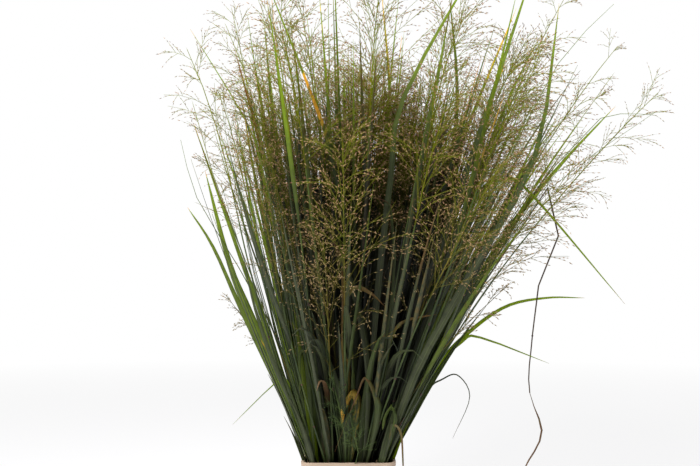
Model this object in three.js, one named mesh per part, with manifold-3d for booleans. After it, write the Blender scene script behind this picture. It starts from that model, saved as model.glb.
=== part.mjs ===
// A potted clump of switchgrass (Panicum virgatum), in millimetres: +Z is up, and the origin is the middle
// of the pot's underside. The front of the clump faces -Y. A square pot holds compost, and the rooted tufts
// stand in plain holes in it. Each tuft is one grown piece: a root crown with its culms and leaf blades,
// and with shorter inner culms that flower between the others. A panicle, with its branches and spikelets,
// stands on the tip of each tall culm. One dead culm has snapped, and hangs over at the right.

import * as THREE from "three";
import { mergeVertices } from "three/addons/utils/BufferGeometryUtils.js";
import Module from "manifold-3d";

const wasm = await Module();
wasm.setup();

// ---------------------------------------------------------------- driving dimensions
const GAP = 0.35; // between a piece and what it stands in or on
const POT = { width: 160, foot: 124, height: 150, wall: 5, corner: 16, floor: 8, arcSteps: 3 };
const DRAIN = { radius: 5, spread: 34, sides: 8 };
const SOIL_TOP = 130;
const CROWN = { radius: 9, foot: 7, depth: 24, proud: 3, play: 1.2, sides: 6 };
const CLUMP = { columns: 5, rows: 4, spacingX: 26, spacingY: 33, shift: 4, jitter: 2 };
const ROOT_DEPTH = 3; // how far under the compost's surface blades and culms sprout
const FAN = { left: 0.36, right: 0.48, depthways: 0.33, reachX: 57, reachY: 50, steepest: 0.5 };
const CULM = { radius: 1.5, tip: 1.1, sides: 3, shortest: 480, longest: 700, leaves: [6, 12, 18] };
// The shorter culms between the others: how many by column, and how long by row, from the front.
const INNER = {
  perTuft: [1, 2, 2, 2, 1],
  shortest: [170, 250, 330, 380],
  longest: [330, 430, 520, 560],
  upright: { x: 0.85, y: 0.75 },
  branches: 3,
};
// Bend in degrees, for each unit of slope sideways. The second culm of a tuft arches over to the right.
const SIDE_BEND = { left: 32, right: 8, arched: 26 };
const LEAF_LEAN = { left: 0.4, right: 0.6 }; // the steepest slopes sideways that a leaf starts with
const SHORTER = { front: 0.15, second: 0.3, outermost: 0.3 }; // shares of a culm's length
const BLADE = { keel: 0.8, rootShare: 0.26, sides: 3, rings: 4, basal: 3 };
const RACHIS = { foot: 1.1, tip: 0.75, shortest: 230, longest: 320 };
const BRANCH = { perPanicle: 4, radius: 0.4, sides: 3, spikelet: 4.6, belly: 1.0 };
const FINE = 24; // steps along every line, from which the rings are picked
const CELL = 4; // the room that a piece takes is kept in cubes of this size
const NEAR_ROOT = 80; // a piece may touch its own tuft or panicle this far from its root
const TRIES = 12;
const RADIANS = Math.PI / 180;
const GOLDEN_TURN = 137.5 * RADIANS;

// Leaf blades that set the clump's outline, or are folded over at its front, drawn through points
// after their root. A tuft is its column and row, with row 0 at the front; a turn is a blade's twist
// about its own length at its foot and its tip, in degrees, where 0 lies flat and 90 stands on edge.
const SHAPED_BLADES = [
  // the left edge
  {
    tuft: [0, 1], width: 15, turn: [80, 70],
    points: [[-167, -20, 387], [-207, -22, 488], [-249, -20, 648]],
  },
  {
    tuft: [0, 2], width: 9, turn: [70, 60],
    points: [[-185, 20, 394], [-239, 20, 514], [-284, 20, 584]],
  },
  {
    tuft: [0, 0], width: 10, turn: [95, 70],
    points: [[-144, -80, 394], [-178, -95, 488], [-258, -110, 721]],
  },
  {
    tuft: [0, 3], width: 9, turn: [80, 60],
    points: [[-140, 60, 439], [-176, 80, 551], [-235, 95, 724]],
  },
  {
    tuft: [1, 3], width: 9, turn: [80, 50],
    points: [[-85, 120, 439], [-141, 160, 614], [-193, 180, 749], [-300, 200, 925]],
  },
  {
    tuft: [0, 2], width: 8, turn: [80, 90],
    points: [[-102, 60, 450], [-160, 70, 700], [-206, 75, 872]],
  },
  // the top
  {
    tuft: [2, 0], width: 9, turn: [90, 60],
    points: [[3, -84, 480], [-30, -118, 673], [-65, -130, 778], [-140, -145, 967]],
  },
  {
    tuft: [1, 2], width: 9, turn: [70, 85],
    points: [[-27, 40, 510], [-33, 45, 682], [-37, 50, 1010]],
  },
  {
    tuft: [2, 1], width: 14, turn: [95, 80],
    points: [[-3, -55, 426], [-9, -80, 595], [-24, -100, 985]],
  },
  {
    tuft: [2, 2], width: 10, turn: [80, 95],
    points: [[45, 50, 425], [67, 65, 629], [74, 70, 790], [59, 70, 979]],
  },
  {
    tuft: [3, 0], width: 11, turn: [80, 100],
    points: [[48, -108, 427], [70, -135, 628], [91, -150, 762], [217, -185, 990]],
  },
  {
    tuft: [3, 2], width: 9, turn: [60, 80],
    points: [[120, 60, 480], [180, 80, 650], [197, 85, 796], [181, 85, 985]],
  },
  {
    tuft: [3, 1], width: 14, turn: [85, 70],
    points: [[87, -60, 340], [154, -85, 510], [225, -100, 721], [312, -110, 990]],
  },
  {
    tuft: [4, 0], width: 12, turn: [80, 85],
    points: [[110, -110, 300], [192, -150, 458], [304, -170, 666], [342, -175, 912]],
  },
  {
    tuft: [4, 3], width: 9, turn: [60, 90],
    points: [[150, 140, 480], [210, 180, 700], [318, 200, 965]],
  },
  // the right edge, arching over
  {
    tuft: [4, 2], width: 11, turn: [70, 60],
    points: [[199, 45, 388], [265, 60, 514], [372, 70, 651], [482, 75, 768]],
  },
  {
    tuft: [4, 1], width: 10, turn: [60, 30],
    points: [[140, -25, 420], [219, -30, 596], [270, -30, 632], [317, -30, 605], [478, -30, 416]],
  },
  {
    tuft: [4, 2], width: 8, turn: [50, 20],
    points: [[158, 25, 300], [206, 28, 357], [277, 30, 408], [350, 30, 424], [419, 30, 424]],
  },
  {
    tuft: [4, 1], width: 7, turn: [50, 20],
    points: [[143, -10, 290], [197, -14, 350], [230, -14, 357], [349, -14, 312]],
  },
  {
    tuft: [4, 2], width: 4, turn: [40, 0],
    points: [[133, 10, 255], [165, 10, 282], [192, 10, 289], [213, 10, 250], [183, 10, 178]],
  },
  {
    tuft: [0, 1], width: 4, turn: [40, 0],
    points: [[-96, -35, 250], [-106, -40, 285], [-127, -42, 280], [-199, -45, 210]],
  },
  // folded over at the front
  {
    tuft: [0, 0], width: 6, turn: [80, 80],
    points: [[-67, -82, 290], [-73, -84, 336], [-82, -84, 330], [-82, -82, 264]],
  },
  {
    tuft: [2, 0], width: 11, turn: [70, 40],
    points: [[17, -76, 240], [8, -92, 268], [-7, -98, 246], [-11, -96, 218]],
  },
  {
    tuft: [3, 0], width: 7, turn: [60, 30],
    points: [[48, -90, 226], [48, -96, 258], [29, -102, 296], [12, -106, 262], [-23, -104, 173]],
  },
  {
    tuft: [4, 0], width: 9, turn: [80, 50],
    points: [[79, -92, 215], [74, -100, 246], [62, -106, 232], [57, -104, 209]],
  },
  {
    tuft: [4, 0], width: 5, turn: [60, 30],
    points: [[70, -88, 191], [74, -94, 216], [88, -102, 203], [92, -104, 140]],
  },
  {
    tuft: [3, 0], width: 7, turn: [70, 30],
    points: [[60, -96, 290], [72, -112, 362], [93, -118, 392], [147, -122, 404]],
  },
  {
    tuft: [2, 0], width: 10, turn: [80, 40],
    points: [[-2, -96, 285], [-8, -118, 392], [8, -130, 446], [36, -134, 440], [60, -134, 418]],
  },
  {
    tuft: [3, 0], width: 13, turn: [85, 70],
    points: [[36, -92, 296], [14, -108, 427], [-14, -114, 500], [-30, -116, 540]],
  },
  {
    tuft: [3, 0], width: 13, turn: [95, 100],
    points: [[74, -124, 440], [72, -140, 560], [63, -146, 590], [38, -150, 597]],
  },
];

const DRY_CULM = {
  foot: [40, 0],
  depth: 6,
  hole: { radius: 6, shift: 2, below: 1.2, sides: 6 },
  rising: [[199, 15, 388], [300, 18, 541], [351, 18, 618]],
  hanging: [
    [370, 18, 534], [335, 18, 446], [323, 16, 350], [318, 14, 264],
    [340, 12, 189], [312, 10, 131], [297, 8, 98],
  ],
  stemRadii: [1.6, 1.6, 1.5, 1.4, 1.3, 1.3, 1.2],
  hangingRings: 12,
  twist: 2.4,
};

// ---------------------------------------------------------------- seeded draws
// A draw between two values, from a stream of its own for each path of small whole numbers.
function drawsFor(...path) {
  let state = path.reduce((sum, step) => sum * 64 + step, 7);
  return (low, high) => {
    state = (state + 0x6d2b79f5) >>> 0;
    let mixed = Math.imul(state ^ (state >>> 15), state | 1);
    mixed ^= mixed + Math.imul(mixed ^ (mixed >>> 7), mixed | 61);
    return low + ((high - low) * ((mixed ^ (mixed >>> 14)) >>> 0)) / 2 ** 32;
  };
}

const STREAM = { tuft: 0, culm: 1, culmBlade: 2, basalBlade: 3, rachis: 4, branch: 5, innerCulm: 6 };

// ---------------------------------------------------------------- lines
const at = (x, y, z) => new THREE.Vector3(x, y, z);

// A line that starts in a direction and bends over, away from the vertical, as it goes.
function archLine({ root, direction, bend, power, length }) {
  const azimuth = Math.atan2(direction.y, direction.x);
  const tilt = Math.acos(direction.z / direction.length());
  const points = [root.clone()];
  for (let k = 0; k < FINE; k++) {
    const angle = tilt + bend * ((k + 0.5) / FINE) ** power;
    const flat = (Math.sin(angle) * length) / FINE;
    const step = at(flat * Math.cos(azimuth), flat * Math.sin(azimuth), (Math.cos(angle) * length) / FINE);
    points.push(points[k].clone().add(step));
  }
  return { points, azimuth };
}

// A smooth line through points set by hand.
function drawnLine(controls) {
  const points = new THREE.CatmullRomCurve3(controls, false, "catmullrom", 0.5).getPoints(FINE);
  const across = points[FINE].clone().sub(points[0]);
  return { points, azimuth: Math.atan2(across.y, across.x) };
}

function tangentAt(line, k) {
  const before = line.points[Math.max(k - 1, 0)];
  const after = line.points[Math.min(k + 1, FINE)];
  return after.clone().sub(before).normalize();
}

// The unit vector across a line at step k: level at no turn, and turned about the line otherwise.
function acrossAt(line, k, turn) {
  const tangent = tangentAt(line, k);
  const level = at(-Math.sin(line.azimuth), Math.cos(line.azimuth), 0);
  level.addScaledVector(tangent, -level.dot(tangent)).normalize();
  const upright = tangent.clone().cross(level);
  return level.multiplyScalar(Math.cos(turn)).addScaledVector(upright, Math.sin(turn));
}

// ---------------------------------------------------------------- rings
// How wide a blade is along its length, as a share of its full width.
function bladeShare(u) {
  const rise = BLADE.rootShare + (1 - BLADE.rootShare) * Math.sin((Math.min(u / 0.3, 1) * Math.PI) / 2);
  const fall = u < 0.35 ? 1 : ((1 - u) / 0.65) ** 0.85;
  return rise * fall;
}

// A blade's section is a flat triangle, with its keel underneath, as wide as the blade.
function bladeRings(line, { width, turn, count }) {
  const rings = [];
  for (let i = 0; i <= count; i++) {
    const k = (i * FINE) / count;
    const u = i / count;
    const across = acrossAt(line, k, turn[0] + (turn[1] - turn[0]) * u);
    const cornerReach = (width * bladeShare(u)) / 2 / Math.sin((2 * Math.PI) / BLADE.sides);
    rings.push({
      centre: line.points[k],
      side: across.clone().multiplyScalar(cornerReach),
      rise: across.clone().cross(tangentAt(line, k)).multiplyScalar(BLADE.keel * (1 - 0.4 * u)),
    });
  }
  return rings;
}

function stemRings(line, radii) {
  return radii.map((radius, i) => {
    const k = Math.round((i * FINE) / (radii.length - 1));
    const side = acrossAt(line, k, 0).multiplyScalar(radius);
    const rise = side.clone().cross(tangentAt(line, k));
    return { centre: line.points[k], side, rise };
  });
}

// A thin branch whose end swells into a spikelet.
function branchRings(line) {
  const { radius, spikelet, belly } = BRANCH;
  const along = tangentAt(line, FINE);
  const rings = stemRings(line, [radius, radius]);
  const ringAt = (back, reach) => ({
    centre: line.points[FINE].clone().addScaledVector(along, -back * spikelet),
    side: rings[1].side.clone().setLength(reach),
    rise: rings[1].rise.clone().setLength(reach),
  });
  return [rings[0], ringAt(1, radius), ringAt(0.6, belly), ringAt(0, 0)];
}

// The point at a share of the way along a swept stem, in the middle of its straight lengths.
function middleAt(rings, share) {
  const place = share * (rings.length - 1);
  const i = Math.min(Math.floor(place), rings.length - 2);
  return rings[i].centre.clone().lerp(rings[i + 1].centre, place - i);
}

// ---------------------------------------------------------------- the room that each node has
// Points spread over a swept piece, close enough together that nothing slips between them.
function spotsOn(rings) {
  const found = [];
  for (let i = 0; i + 1 < rings.length; i++) {
    const [a, b] = [rings[i], rings[i + 1]];
    const steps = Math.ceil(a.centre.distanceTo(b.centre) / CELL);
    const half = Math.max(1, Math.ceil(Math.max(a.side.length(), b.side.length()) / CELL));
    for (let j = 0; j < steps; j++) {
      for (let m = -half; m <= half; m++) {
        const from = a.centre.clone().addScaledVector(a.side, m / half);
        const to = b.centre.clone().addScaledVector(b.side, m / half);
        found.push(from.lerp(to, j / steps));
      }
    }
  }
  return found;
}

const SHARED = -1; // the owner of a cell that more than one node comes near
const ownerOf = new Map();
const cellKey = (x, y, z) => ((x + 1000) * 4096 + (y + 1000)) * 4096 + (z + 1000);
const cellAt = (p) => [p.x, p.y, p.z].map((v) => Math.floor(v / CELL));
const NEIGHBOURS = [-1, 0, 1];

function takeRoom(rings, owner) {
  for (const spot of spotsOn(rings)) {
    const [x, y, z] = cellAt(spot);
    for (const dx of NEIGHBOURS) {
      for (const dy of NEIGHBOURS) {
        for (const dz of NEIGHBOURS) {
          const key = cellKey(x + dx, y + dy, z + dz);
          const held = ownerOf.get(key) ?? owner;
          ownerOf.set(key, held === owner ? owner : SHARED);
        }
      }
    }
  }
}

function hasRoom(rings, owner) {
  return spotsOn(rings).every((spot) => {
    const held = ownerOf.get(cellKey(...cellAt(spot)));
    const nearRoot = spot.distanceTo(rings[0].centre) < NEAR_ROOT;
    return held === undefined || (held === owner && nearRoot);
  });
}

// Adds the first of several tries that is clear of every other node to a list, if one is.
function addWhereClear(list, owner, attempt) {
  for (let tried = 0; tried < TRIES; tried++) {
    const made = attempt(tried);
    if (hasRoom(made.rings, owner)) {
      takeRoom(made.rings, owner);
      list.push(made);
      return;
    }
  }
}

// The pot's rim keeps its room, so that nothing leans through it.
function takeRimRoom() {
  const half = (POT.width - POT.wall) / 2;
  const side = at(0, 0, (POT.height - SOIL_TOP) / 2);
  const corners = [[1, 1], [-1, 1], [-1, -1], [1, -1], [1, 1]];
  const middle = (POT.height + SOIL_TOP) / 2;
  takeRoom(corners.map(([x, y]) => ({ centre: at(x * half, y * half, middle), side })), SHARED);
}

// ---------------------------------------------------------------- the plan: where everything grows
function planTufts() {
  const tufts = [];
  for (let row = 0; row < CLUMP.rows; row++) {
    for (let column = 0; column < CLUMP.columns; column++) {
      const draw = drawsFor(STREAM.tuft, tufts.length);
      const shift = row % 2 ? CLUMP.shift : -CLUMP.shift;
      const x = (column - (CLUMP.columns - 1) / 2) * CLUMP.spacingX + shift;
      const y = (row - (CLUMP.rows - 1) / 2) * CLUMP.spacingY;
      tufts.push({
        owner: tufts.length,
        row,
        column,
        culmCount: column === 0 ? 1 : 2,
        x: x + draw(-1, 1) * CLUMP.jitter,
        y: y + draw(-1, 1) * CLUMP.jitter,
        culms: [],
        innerCulms: [],
        blades: [],
      });
    }
  }
  return tufts;
}

// The point in a tuft's crown where something sprouts, offset from the middle towards an angle.
function sproutOf(tuft, angle, offset) {
  const [x, y] = [offset * Math.cos(angle), offset * Math.sin(angle)];
  return at(tuft.x + x, tuft.y + y, SOIL_TOP - ROOT_DEPTH);
}

// The way that things grow from a point: the clump fans out from its middle.
function fanDirection(point) {
  const { left, right, depthways, reachX, reachY, steepest } = FAN;
  const x = ((point.x < 0 ? left : right) * point.x) / reachX;
  const y = (depthways * point.y) / reachY;
  const share = Math.min(1, steepest / Math.hypot(x, y));
  return at(x * share, y * share, 1);
}

function planShapedBlades(tufts) {
  for (const { tuft, width, turn, points } of SHAPED_BLADES) {
    const grown = tufts[tuft[1] * CLUMP.columns + tuft[0]];
    const towards = Math.atan2(points[0][1] - grown.y, points[0][0] - grown.x);
    const line = drawnLine([sproutOf(grown, towards, 5), ...points.map((p) => at(...p))]);
    const count = points.length > 3 ? 8 : 6;
    const rings = bladeRings(line, { width, turn: turn.map((degrees) => degrees * RADIANS), count });
    takeRoom(rings, grown.owner);
    grown.blades.push({ line, rings });
  }
}

// What leans to the left straightens up again, and what leans to the right bends over further.
function sideBend(direction, right = SIDE_BEND.right) {
  return (direction.x < 0 ? SIDE_BEND.left : right) * direction.x;
}

// Keeps a direction within the steepest slopes that it may have to the left and the right.
function withinLean(direction, { left, right }) {
  direction.x = Math.min(Math.max(direction.x, -left), right);
  return direction;
}

// The share of its length that a culm lacks. The second culm of a tuft is short, but for the rightmost.
function shorterBy(tuft, i, direction) {
  if (tuft.row === 0) {
    return SHORTER.front + SHORTER.second * i;
  }
  if (i === 1) {
    return tuft.column < CLUMP.columns - 1 ? SHORTER.second : 0;
  }
  return (SHORTER.outermost * Math.abs(direction.x)) / FAN.right;
}

function grownCulm(tuft, i, tried) {
  const draw = drawsFor(STREAM.culm, tuft.owner, i, tried);
  const side = draw(0, Math.PI) + i * Math.PI;
  const root = sproutOf(tuft, side, 3);
  const strayed = at(draw(-0.1, 0.1), draw(-0.06, 0.06), 0);
  const direction = withinLean(fanDirection(sproutOf(tuft, side, 6)).add(strayed), FAN);
  const line = archLine({
    root,
    direction,
    bend: (sideBend(direction, i ? SIDE_BEND.arched : SIDE_BEND.right) + draw(-3, 4)) * RADIANS,
    power: 1.4,
    length: draw(CULM.shortest, CULM.longest) * (1 - shorterBy(tuft, i, direction)),
  });
  const { radius, tip } = CULM;
  return { line, rings: stemRings(line, [radius, radius, radius, tip]), leafSide: draw(0, Math.PI) };
}

// An inner culm grows on into the rachis of its own panicle.
function innerCulm(tuft, i, tried) {
  const draw = drawsFor(STREAM.innerCulm, tuft.owner, i, tried);
  const side = draw(0, 2 * Math.PI);
  const strayed = at(draw(-0.12, 0.12), draw(-0.08, 0.08), 0);
  const fan = fanDirection(sproutOf(tuft, side, 6));
  const upright = at(fan.x * INNER.upright.x, fan.y * INNER.upright.y, 1);
  const direction = withinLean(upright.add(strayed), FAN);
  const line = archLine({
    root: sproutOf(tuft, side, 4),
    direction,
    bend: (sideBend(direction) + draw(-3, 6)) * RADIANS,
    power: 1.4,
    length: draw(INNER.shortest[tuft.row], INNER.longest[tuft.row]),
  });
  const rachis = rachisFrom(line.points[FINE], tangentAt(line, FINE), draw);
  const stem = stemRings(line, [CULM.radius, CULM.radius, CULM.tip]);
  return { line, rachis, rings: [...stem, ...rachis.rings.slice(1)], branches: [] };
}

// The leaf of a culm stands away from it by a small slope, on one side and then on the other.
function culmBlade(tuft, culm, c, j, tried) {
  const draw = drawsFor(STREAM.culmBlade, tuft.owner, c, j, tried);
  const k = CULM.leaves[j];
  const root = middleAt(culm.rings, k / FINE);
  const side = culm.leafSide + j * Math.PI + draw(-0.5, 0.5) + tried * 0.9;
  const spread = draw(0.08, 0.2);
  const stem = tangentAt(culm.line, k);
  const away = at(Math.cos(side) * spread, Math.sin(side) * spread, 0);
  const direction = withinLean(stem.divideScalar(stem.z).add(away), LEAF_LEAN);
  const bend = sideBend(direction) + draw(-6, 10);
  const length = draw(300, 470) * (1 - 0.05 * tried);
  const line = archLine({ root, direction, bend: bend * RADIANS, power: draw(1.2, 2.2), length });
  const facing = draw(-0.6, 0.6);
  const turn = [facing, facing + draw(-0.5, 0.5)];
  return { line, rings: bladeRings(line, { width: draw(9, 13), turn, count: BLADE.rings }) };
}

function basalBlade(tuft, j, tried) {
  const draw = drawsFor(STREAM.basalBlade, tuft.owner, j, tried);
  const side = (j * 2 * Math.PI) / BLADE.basal + draw(-0.4, 0.4) + tried * 0.5;
  const root = sproutOf(tuft, side, 5);
  const spread = draw(0.02, 0.1);
  const away = at(Math.cos(side) * spread, Math.sin(side) * spread, 0);
  const direction = withinLean(fanDirection(root).add(away), LEAF_LEAN);
  const bend = sideBend(direction) + draw(-6, 8);
  const length = draw(330, 620) * (1 - 0.05 * tried);
  const line = archLine({ root, direction, bend: bend * RADIANS, power: draw(1.3, 2.2), length });
  const facing = draw(-0.9, 0.9);
  const turn = [facing, facing + draw(-0.6, 0.6)];
  return { line, rings: bladeRings(line, { width: draw(10, 14), turn, count: BLADE.rings }) };
}

// The stem of a panicle, from its root.
function rachisFrom(root, direction, draw) {
  const length = draw(RACHIS.shortest, RACHIS.longest);
  const line = archLine({ root, direction, bend: draw(2, 22) * RADIANS, power: 1.5, length });
  const { foot, tip } = RACHIS;
  return { line, rings: stemRings(line, [foot, (2 * foot + tip) / 3, (foot + 2 * tip) / 3, tip]) };
}

// A panicle stands on the tip of each culm.
function planPanicles(tufts) {
  const panicles = [];
  for (const tuft of tufts) {
    for (const culm of tuft.culms) {
      const owner = tufts.length + panicles.length;
      const draw = drawsFor(STREAM.rachis, owner);
      const direction = tangentAt(culm.line, FINE);
      const root = culm.line.points[FINE].clone().addScaledVector(direction, GAP);
      const rachis = rachisFrom(root, direction, draw);
      takeRoom(rachis.rings, owner);
      panicles.push({ owner, rachis, branches: [] });
    }
  }
  return panicles;
}

// Branches leave the rachis all round, the lower ones longer.
function panicleBranch(rachis, number, i, count, tried) {
  const draw = drawsFor(STREAM.branch, number, i, tried);
  const k = Math.round(2 + (19 * i) / (count - 1));
  const u = k / FINE;
  const open = draw(28, 48) * RADIANS;
  const across = acrossAt(rachis.line, k, i * GOLDEN_TURN + tried * 0.8);
  const direction = tangentAt(rachis.line, k).multiplyScalar(Math.cos(open));
  const line = archLine({
    root: middleAt(rachis.rings, u),
    direction: direction.addScaledVector(across, Math.sin(open)),
    bend: draw(6, 34) * RADIANS,
    power: 1.2,
    length: draw(110, 165) * (1 - 0.55 * u) * (1 - 0.06 * tried),
  });
  return { line, rings: branchRings(line) };
}

function planBranches(panicle, owner, number, count) {
  for (let i = 0; i < count; i++) {
    addWhereClear(panicle.branches, owner, (tried) =>
      panicleBranch(panicle.rachis, number, i, count, tried),
    );
  }
}

function planClump() {
  const tufts = planTufts();
  takeRimRoom();
  for (const tuft of tufts) {
    for (let i = 0; i < tuft.culmCount; i++) {
      addWhereClear(tuft.culms, tuft.owner, (tried) => grownCulm(tuft, i, tried));
    }
  }
  planShapedBlades(tufts);
  const panicles = planPanicles(tufts);
  for (const tuft of tufts) {
    for (let i = 0; i < INNER.perTuft[tuft.column]; i++) {
      addWhereClear(tuft.innerCulms, tuft.owner, (tried) => innerCulm(tuft, i, tried));
    }
  }
  for (const tuft of tufts) {
    tuft.culms.forEach((culm, c) => {
      CULM.leaves.forEach((_, j) => {
        addWhereClear(tuft.blades, tuft.owner, (tried) => culmBlade(tuft, culm, c, j, tried));
      });
    });
    for (let j = 0; j < BLADE.basal; j++) {
      addWhereClear(tuft.blades, tuft.owner, (tried) => basalBlade(tuft, j, tried));
    }
  }
  for (const panicle of panicles) {
    planBranches(panicle, panicle.owner, panicle.owner, BRANCH.perPanicle);
  }
  const innerCulms = tufts.flatMap((tuft) => tuft.innerCulms.map((culm) => ({ tuft, culm })));
  innerCulms.forEach(({ tuft, culm }, i) => {
    planBranches(culm, tuft.owner, tufts.length + panicles.length + i, INNER.branches);
  });
  return { tufts, panicles };
}

// ---------------------------------------------------------------- solids
function solidOf(geometry) {
  geometry.deleteAttribute("normal");
  geometry.deleteAttribute("uv");
  const merged = mergeVertices(geometry, 1e-4);
  return new wasm.Manifold(
    new wasm.Mesh({
      numProp: 3,
      vertProperties: new Float32Array(merged.attributes.position.array),
      triVerts: new Uint32Array(merged.index.array),
    }),
  );
}

function geometryOf(solid) {
  const mesh = solid.getMesh();
  return new THREE.BufferGeometry()
    .setAttribute("position", new THREE.BufferAttribute(mesh.vertProperties, 3))
    .setIndex(new THREE.BufferAttribute(mesh.triVerts, 1));
}

// A closed piece swept through its rings: a cylinder, with each of its rings laid on one of them.
function sweep(rings, sides, pointed) {
  const count = rings.length - 1;
  const geometry = new THREE.CylinderGeometry(pointed ? 0 : 1, 1, 1, sides, count);
  const position = geometry.getAttribute("position");
  for (let i = 0; i < position.count; i++) {
    const k = Math.round((position.getY(i) + 0.5) * count);
    const ring = rings[k];
    const share = pointed && k < count ? 1 - k / count : 1;
    const point = ring.centre
      .clone()
      .addScaledVector(ring.side, position.getX(i) / share)
      .addScaledVector(ring.rise, position.getZ(i) / share);
    position.setXYZ(i, point.x, point.y, point.z);
  }
  return solidOf(geometry);
}

function crownSolid(tuft) {
  const { radius, foot, depth, proud, sides } = CROWN;
  const geometry = new THREE.CylinderGeometry(radius, foot, depth + proud, sides);
  geometry.rotateX(Math.PI / 2);
  geometry.translate(tuft.x, tuft.y, SOIL_TOP + (proud - depth) / 2);
  return solidOf(geometry);
}

function tuftSolid(tuft) {
  const culms = tuft.culms.map((culm) => sweep(culm.rings, CULM.sides, false));
  const blades = tuft.blades.map((blade) => sweep(blade.rings, BLADE.sides, true));
  const flowering = tuft.innerCulms.flatMap(branchedStem);
  return wasm.Manifold.union([crownSolid(tuft), ...culms, ...flowering, ...blades]);
}

// A stem with the branches of its panicle.
function branchedStem({ rings, branches }) {
  return [
    sweep(rings, CULM.sides, false),
    ...branches.map((branch) => sweep(branch.rings, BRANCH.sides, true)),
  ];
}

function panicleSolid({ rachis, branches }) {
  return wasm.Manifold.union(branchedStem({ rings: rachis.rings, branches }));
}

// The dead culm: a thin stem up to where it snapped, then hanging, ending in a flat twisted blade.
function dryCulmSolid() {
  const { foot, depth, rising, hanging, stemRadii, hangingRings, twist } = DRY_CULM;
  const stemLine = drawnLine([at(...foot, SOIL_TOP - depth), ...rising.map((p) => at(...p))]);
  const hangingLine = drawnLine([stemLine.points[FINE].clone(), ...hanging.map((p) => at(...p))]);
  const rings = [];
  for (let i = 0; i <= hangingRings; i++) {
    const k = (i * FINE) / hangingRings;
    const flat = Math.max(0, (2 * i) / hangingRings - 1);
    const across = acrossAt(hangingLine, k, flat * twist);
    rings.push({
      centre: hangingLine.points[k],
      side: across.clone().multiplyScalar(1.2 + 2.2 * Math.sin(flat * Math.PI)),
      rise: across.clone().cross(tangentAt(hangingLine, k)).multiplyScalar(1.2 - 0.4 * flat),
    });
  }
  return sweep(stemRings(stemLine, stemRadii), CULM.sides, false).add(sweep(rings, CULM.sides, true));
}

// A square block with round corners that narrows towards the pot's foot, as the pot does.
function taperedBlock(inset, from, to) {
  const half = POT.width / 2 - inset;
  const corner = POT.corner - inset;
  const flat = half - corner;
  const outline = new THREE.Shape();
  [[1, 1], [-1, 1], [-1, -1], [1, -1]].forEach(([x, y], quarter) => {
    const start = (quarter * Math.PI) / 2;
    outline.absarc(x * flat, y * flat, corner, start, start + Math.PI / 2, false);
  });
  const depth = to - from;
  const options = { depth, bevelEnabled: false, curveSegments: POT.arcSteps };
  const geometry = new THREE.ExtrudeGeometry(outline, options);
  const position = geometry.getAttribute("position");
  for (let i = 0; i < position.count; i++) {
    const z = position.getZ(i) + from;
    const narrowed = ((POT.width - POT.foot) / 2) * (1 - z / POT.height);
    const scale = (half - narrowed) / half;
    position.setXYZ(i, position.getX(i) * scale, position.getY(i) * scale, z);
  }
  return solidOf(geometry);
}

function uprightHole(x, y, radius, from, to, sides) {
  const geometry = new THREE.CylinderGeometry(radius, radius, to - from, sides);
  geometry.rotateX(Math.PI / 2);
  geometry.translate(x, y, (from + to) / 2);
  return solidOf(geometry);
}

function potSolid() {
  const cavity = taperedBlock(POT.wall, POT.floor, POT.height + 1);
  const corners = [[1, 1], [-1, 1], [-1, -1], [1, -1]];
  const drains = corners.map(([x, y]) =>
    uprightHole(x * DRAIN.spread, y * DRAIN.spread, DRAIN.radius, -1, POT.floor + 1, DRAIN.sides),
  );
  return wasm.Manifold.difference([taperedBlock(0, 0, POT.height), cavity, ...drains]);
}

function compostSolid(tufts) {
  const above = SOIL_TOP + 1;
  const holes = tufts.map(({ x, y }) => {
    const { radius, depth, play, sides } = CROWN;
    return uprightHole(x, y, radius + play, SOIL_TOP - depth - GAP, above, sides);
  });
  const { foot, depth, hole } = DRY_CULM;
  const [x, y] = [foot[0] + hole.shift, foot[1]];
  holes.push(uprightHole(x, y, hole.radius, SOIL_TOP - depth - hole.below, above, hole.sides));
  const block = taperedBlock(POT.wall + GAP, POT.floor + GAP, SOIL_TOP);
  return wasm.Manifold.difference([block, ...holes]);
}

// ---------------------------------------------------------------- materials and the finished group
const material = (color, roughness) => new THREE.MeshStandardMaterial({ color, roughness, metalness: 0 });
const CERAMIC = material(0xb9a288, 0.6);
const COMPOST = material(0x2b1d13, 0.95);
const LEAF = material(0x3f5f23, 0.55);
const SEED_HEAD = material(0x7a5c3e, 0.8);
const DEAD_STEM = material(0x6b5638, 0.8);

const plant = new THREE.Group();

function addNode(name, solid, finish) {
  const mesh = new THREE.Mesh(geometryOf(solid), finish);
  mesh.name = name;
  plant.add(mesh);
}

const numbered = (name, i) => `${name}_${String(i + 1).padStart(2, "0")}`;

const { tufts, panicles } = planClump();
addNode("pot", potSolid(), CERAMIC);
addNode("compost", compostSolid(tufts), COMPOST);
tufts.forEach((tuft, i) => addNode(numbered("tuft", i), tuftSolid(tuft), LEAF));
panicles.forEach((panicle, i) => addNode(numbered("panicle", i), panicleSolid(panicle), SEED_HEAD));
addNode("dry_culm", dryCulmSolid(), DEAD_STEM);

export default plant;
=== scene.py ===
"""A potted clump of switchgrass (Panicum virgatum): leaf blades, culms, panicles, compost and pot.

The clump grows here by the same seeded plan as in the solid model, in millimetres, and is then dressed:
more blades and finer ones, jointed culms, and panicles with all their branches, sprays and spikelets.
"""

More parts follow.
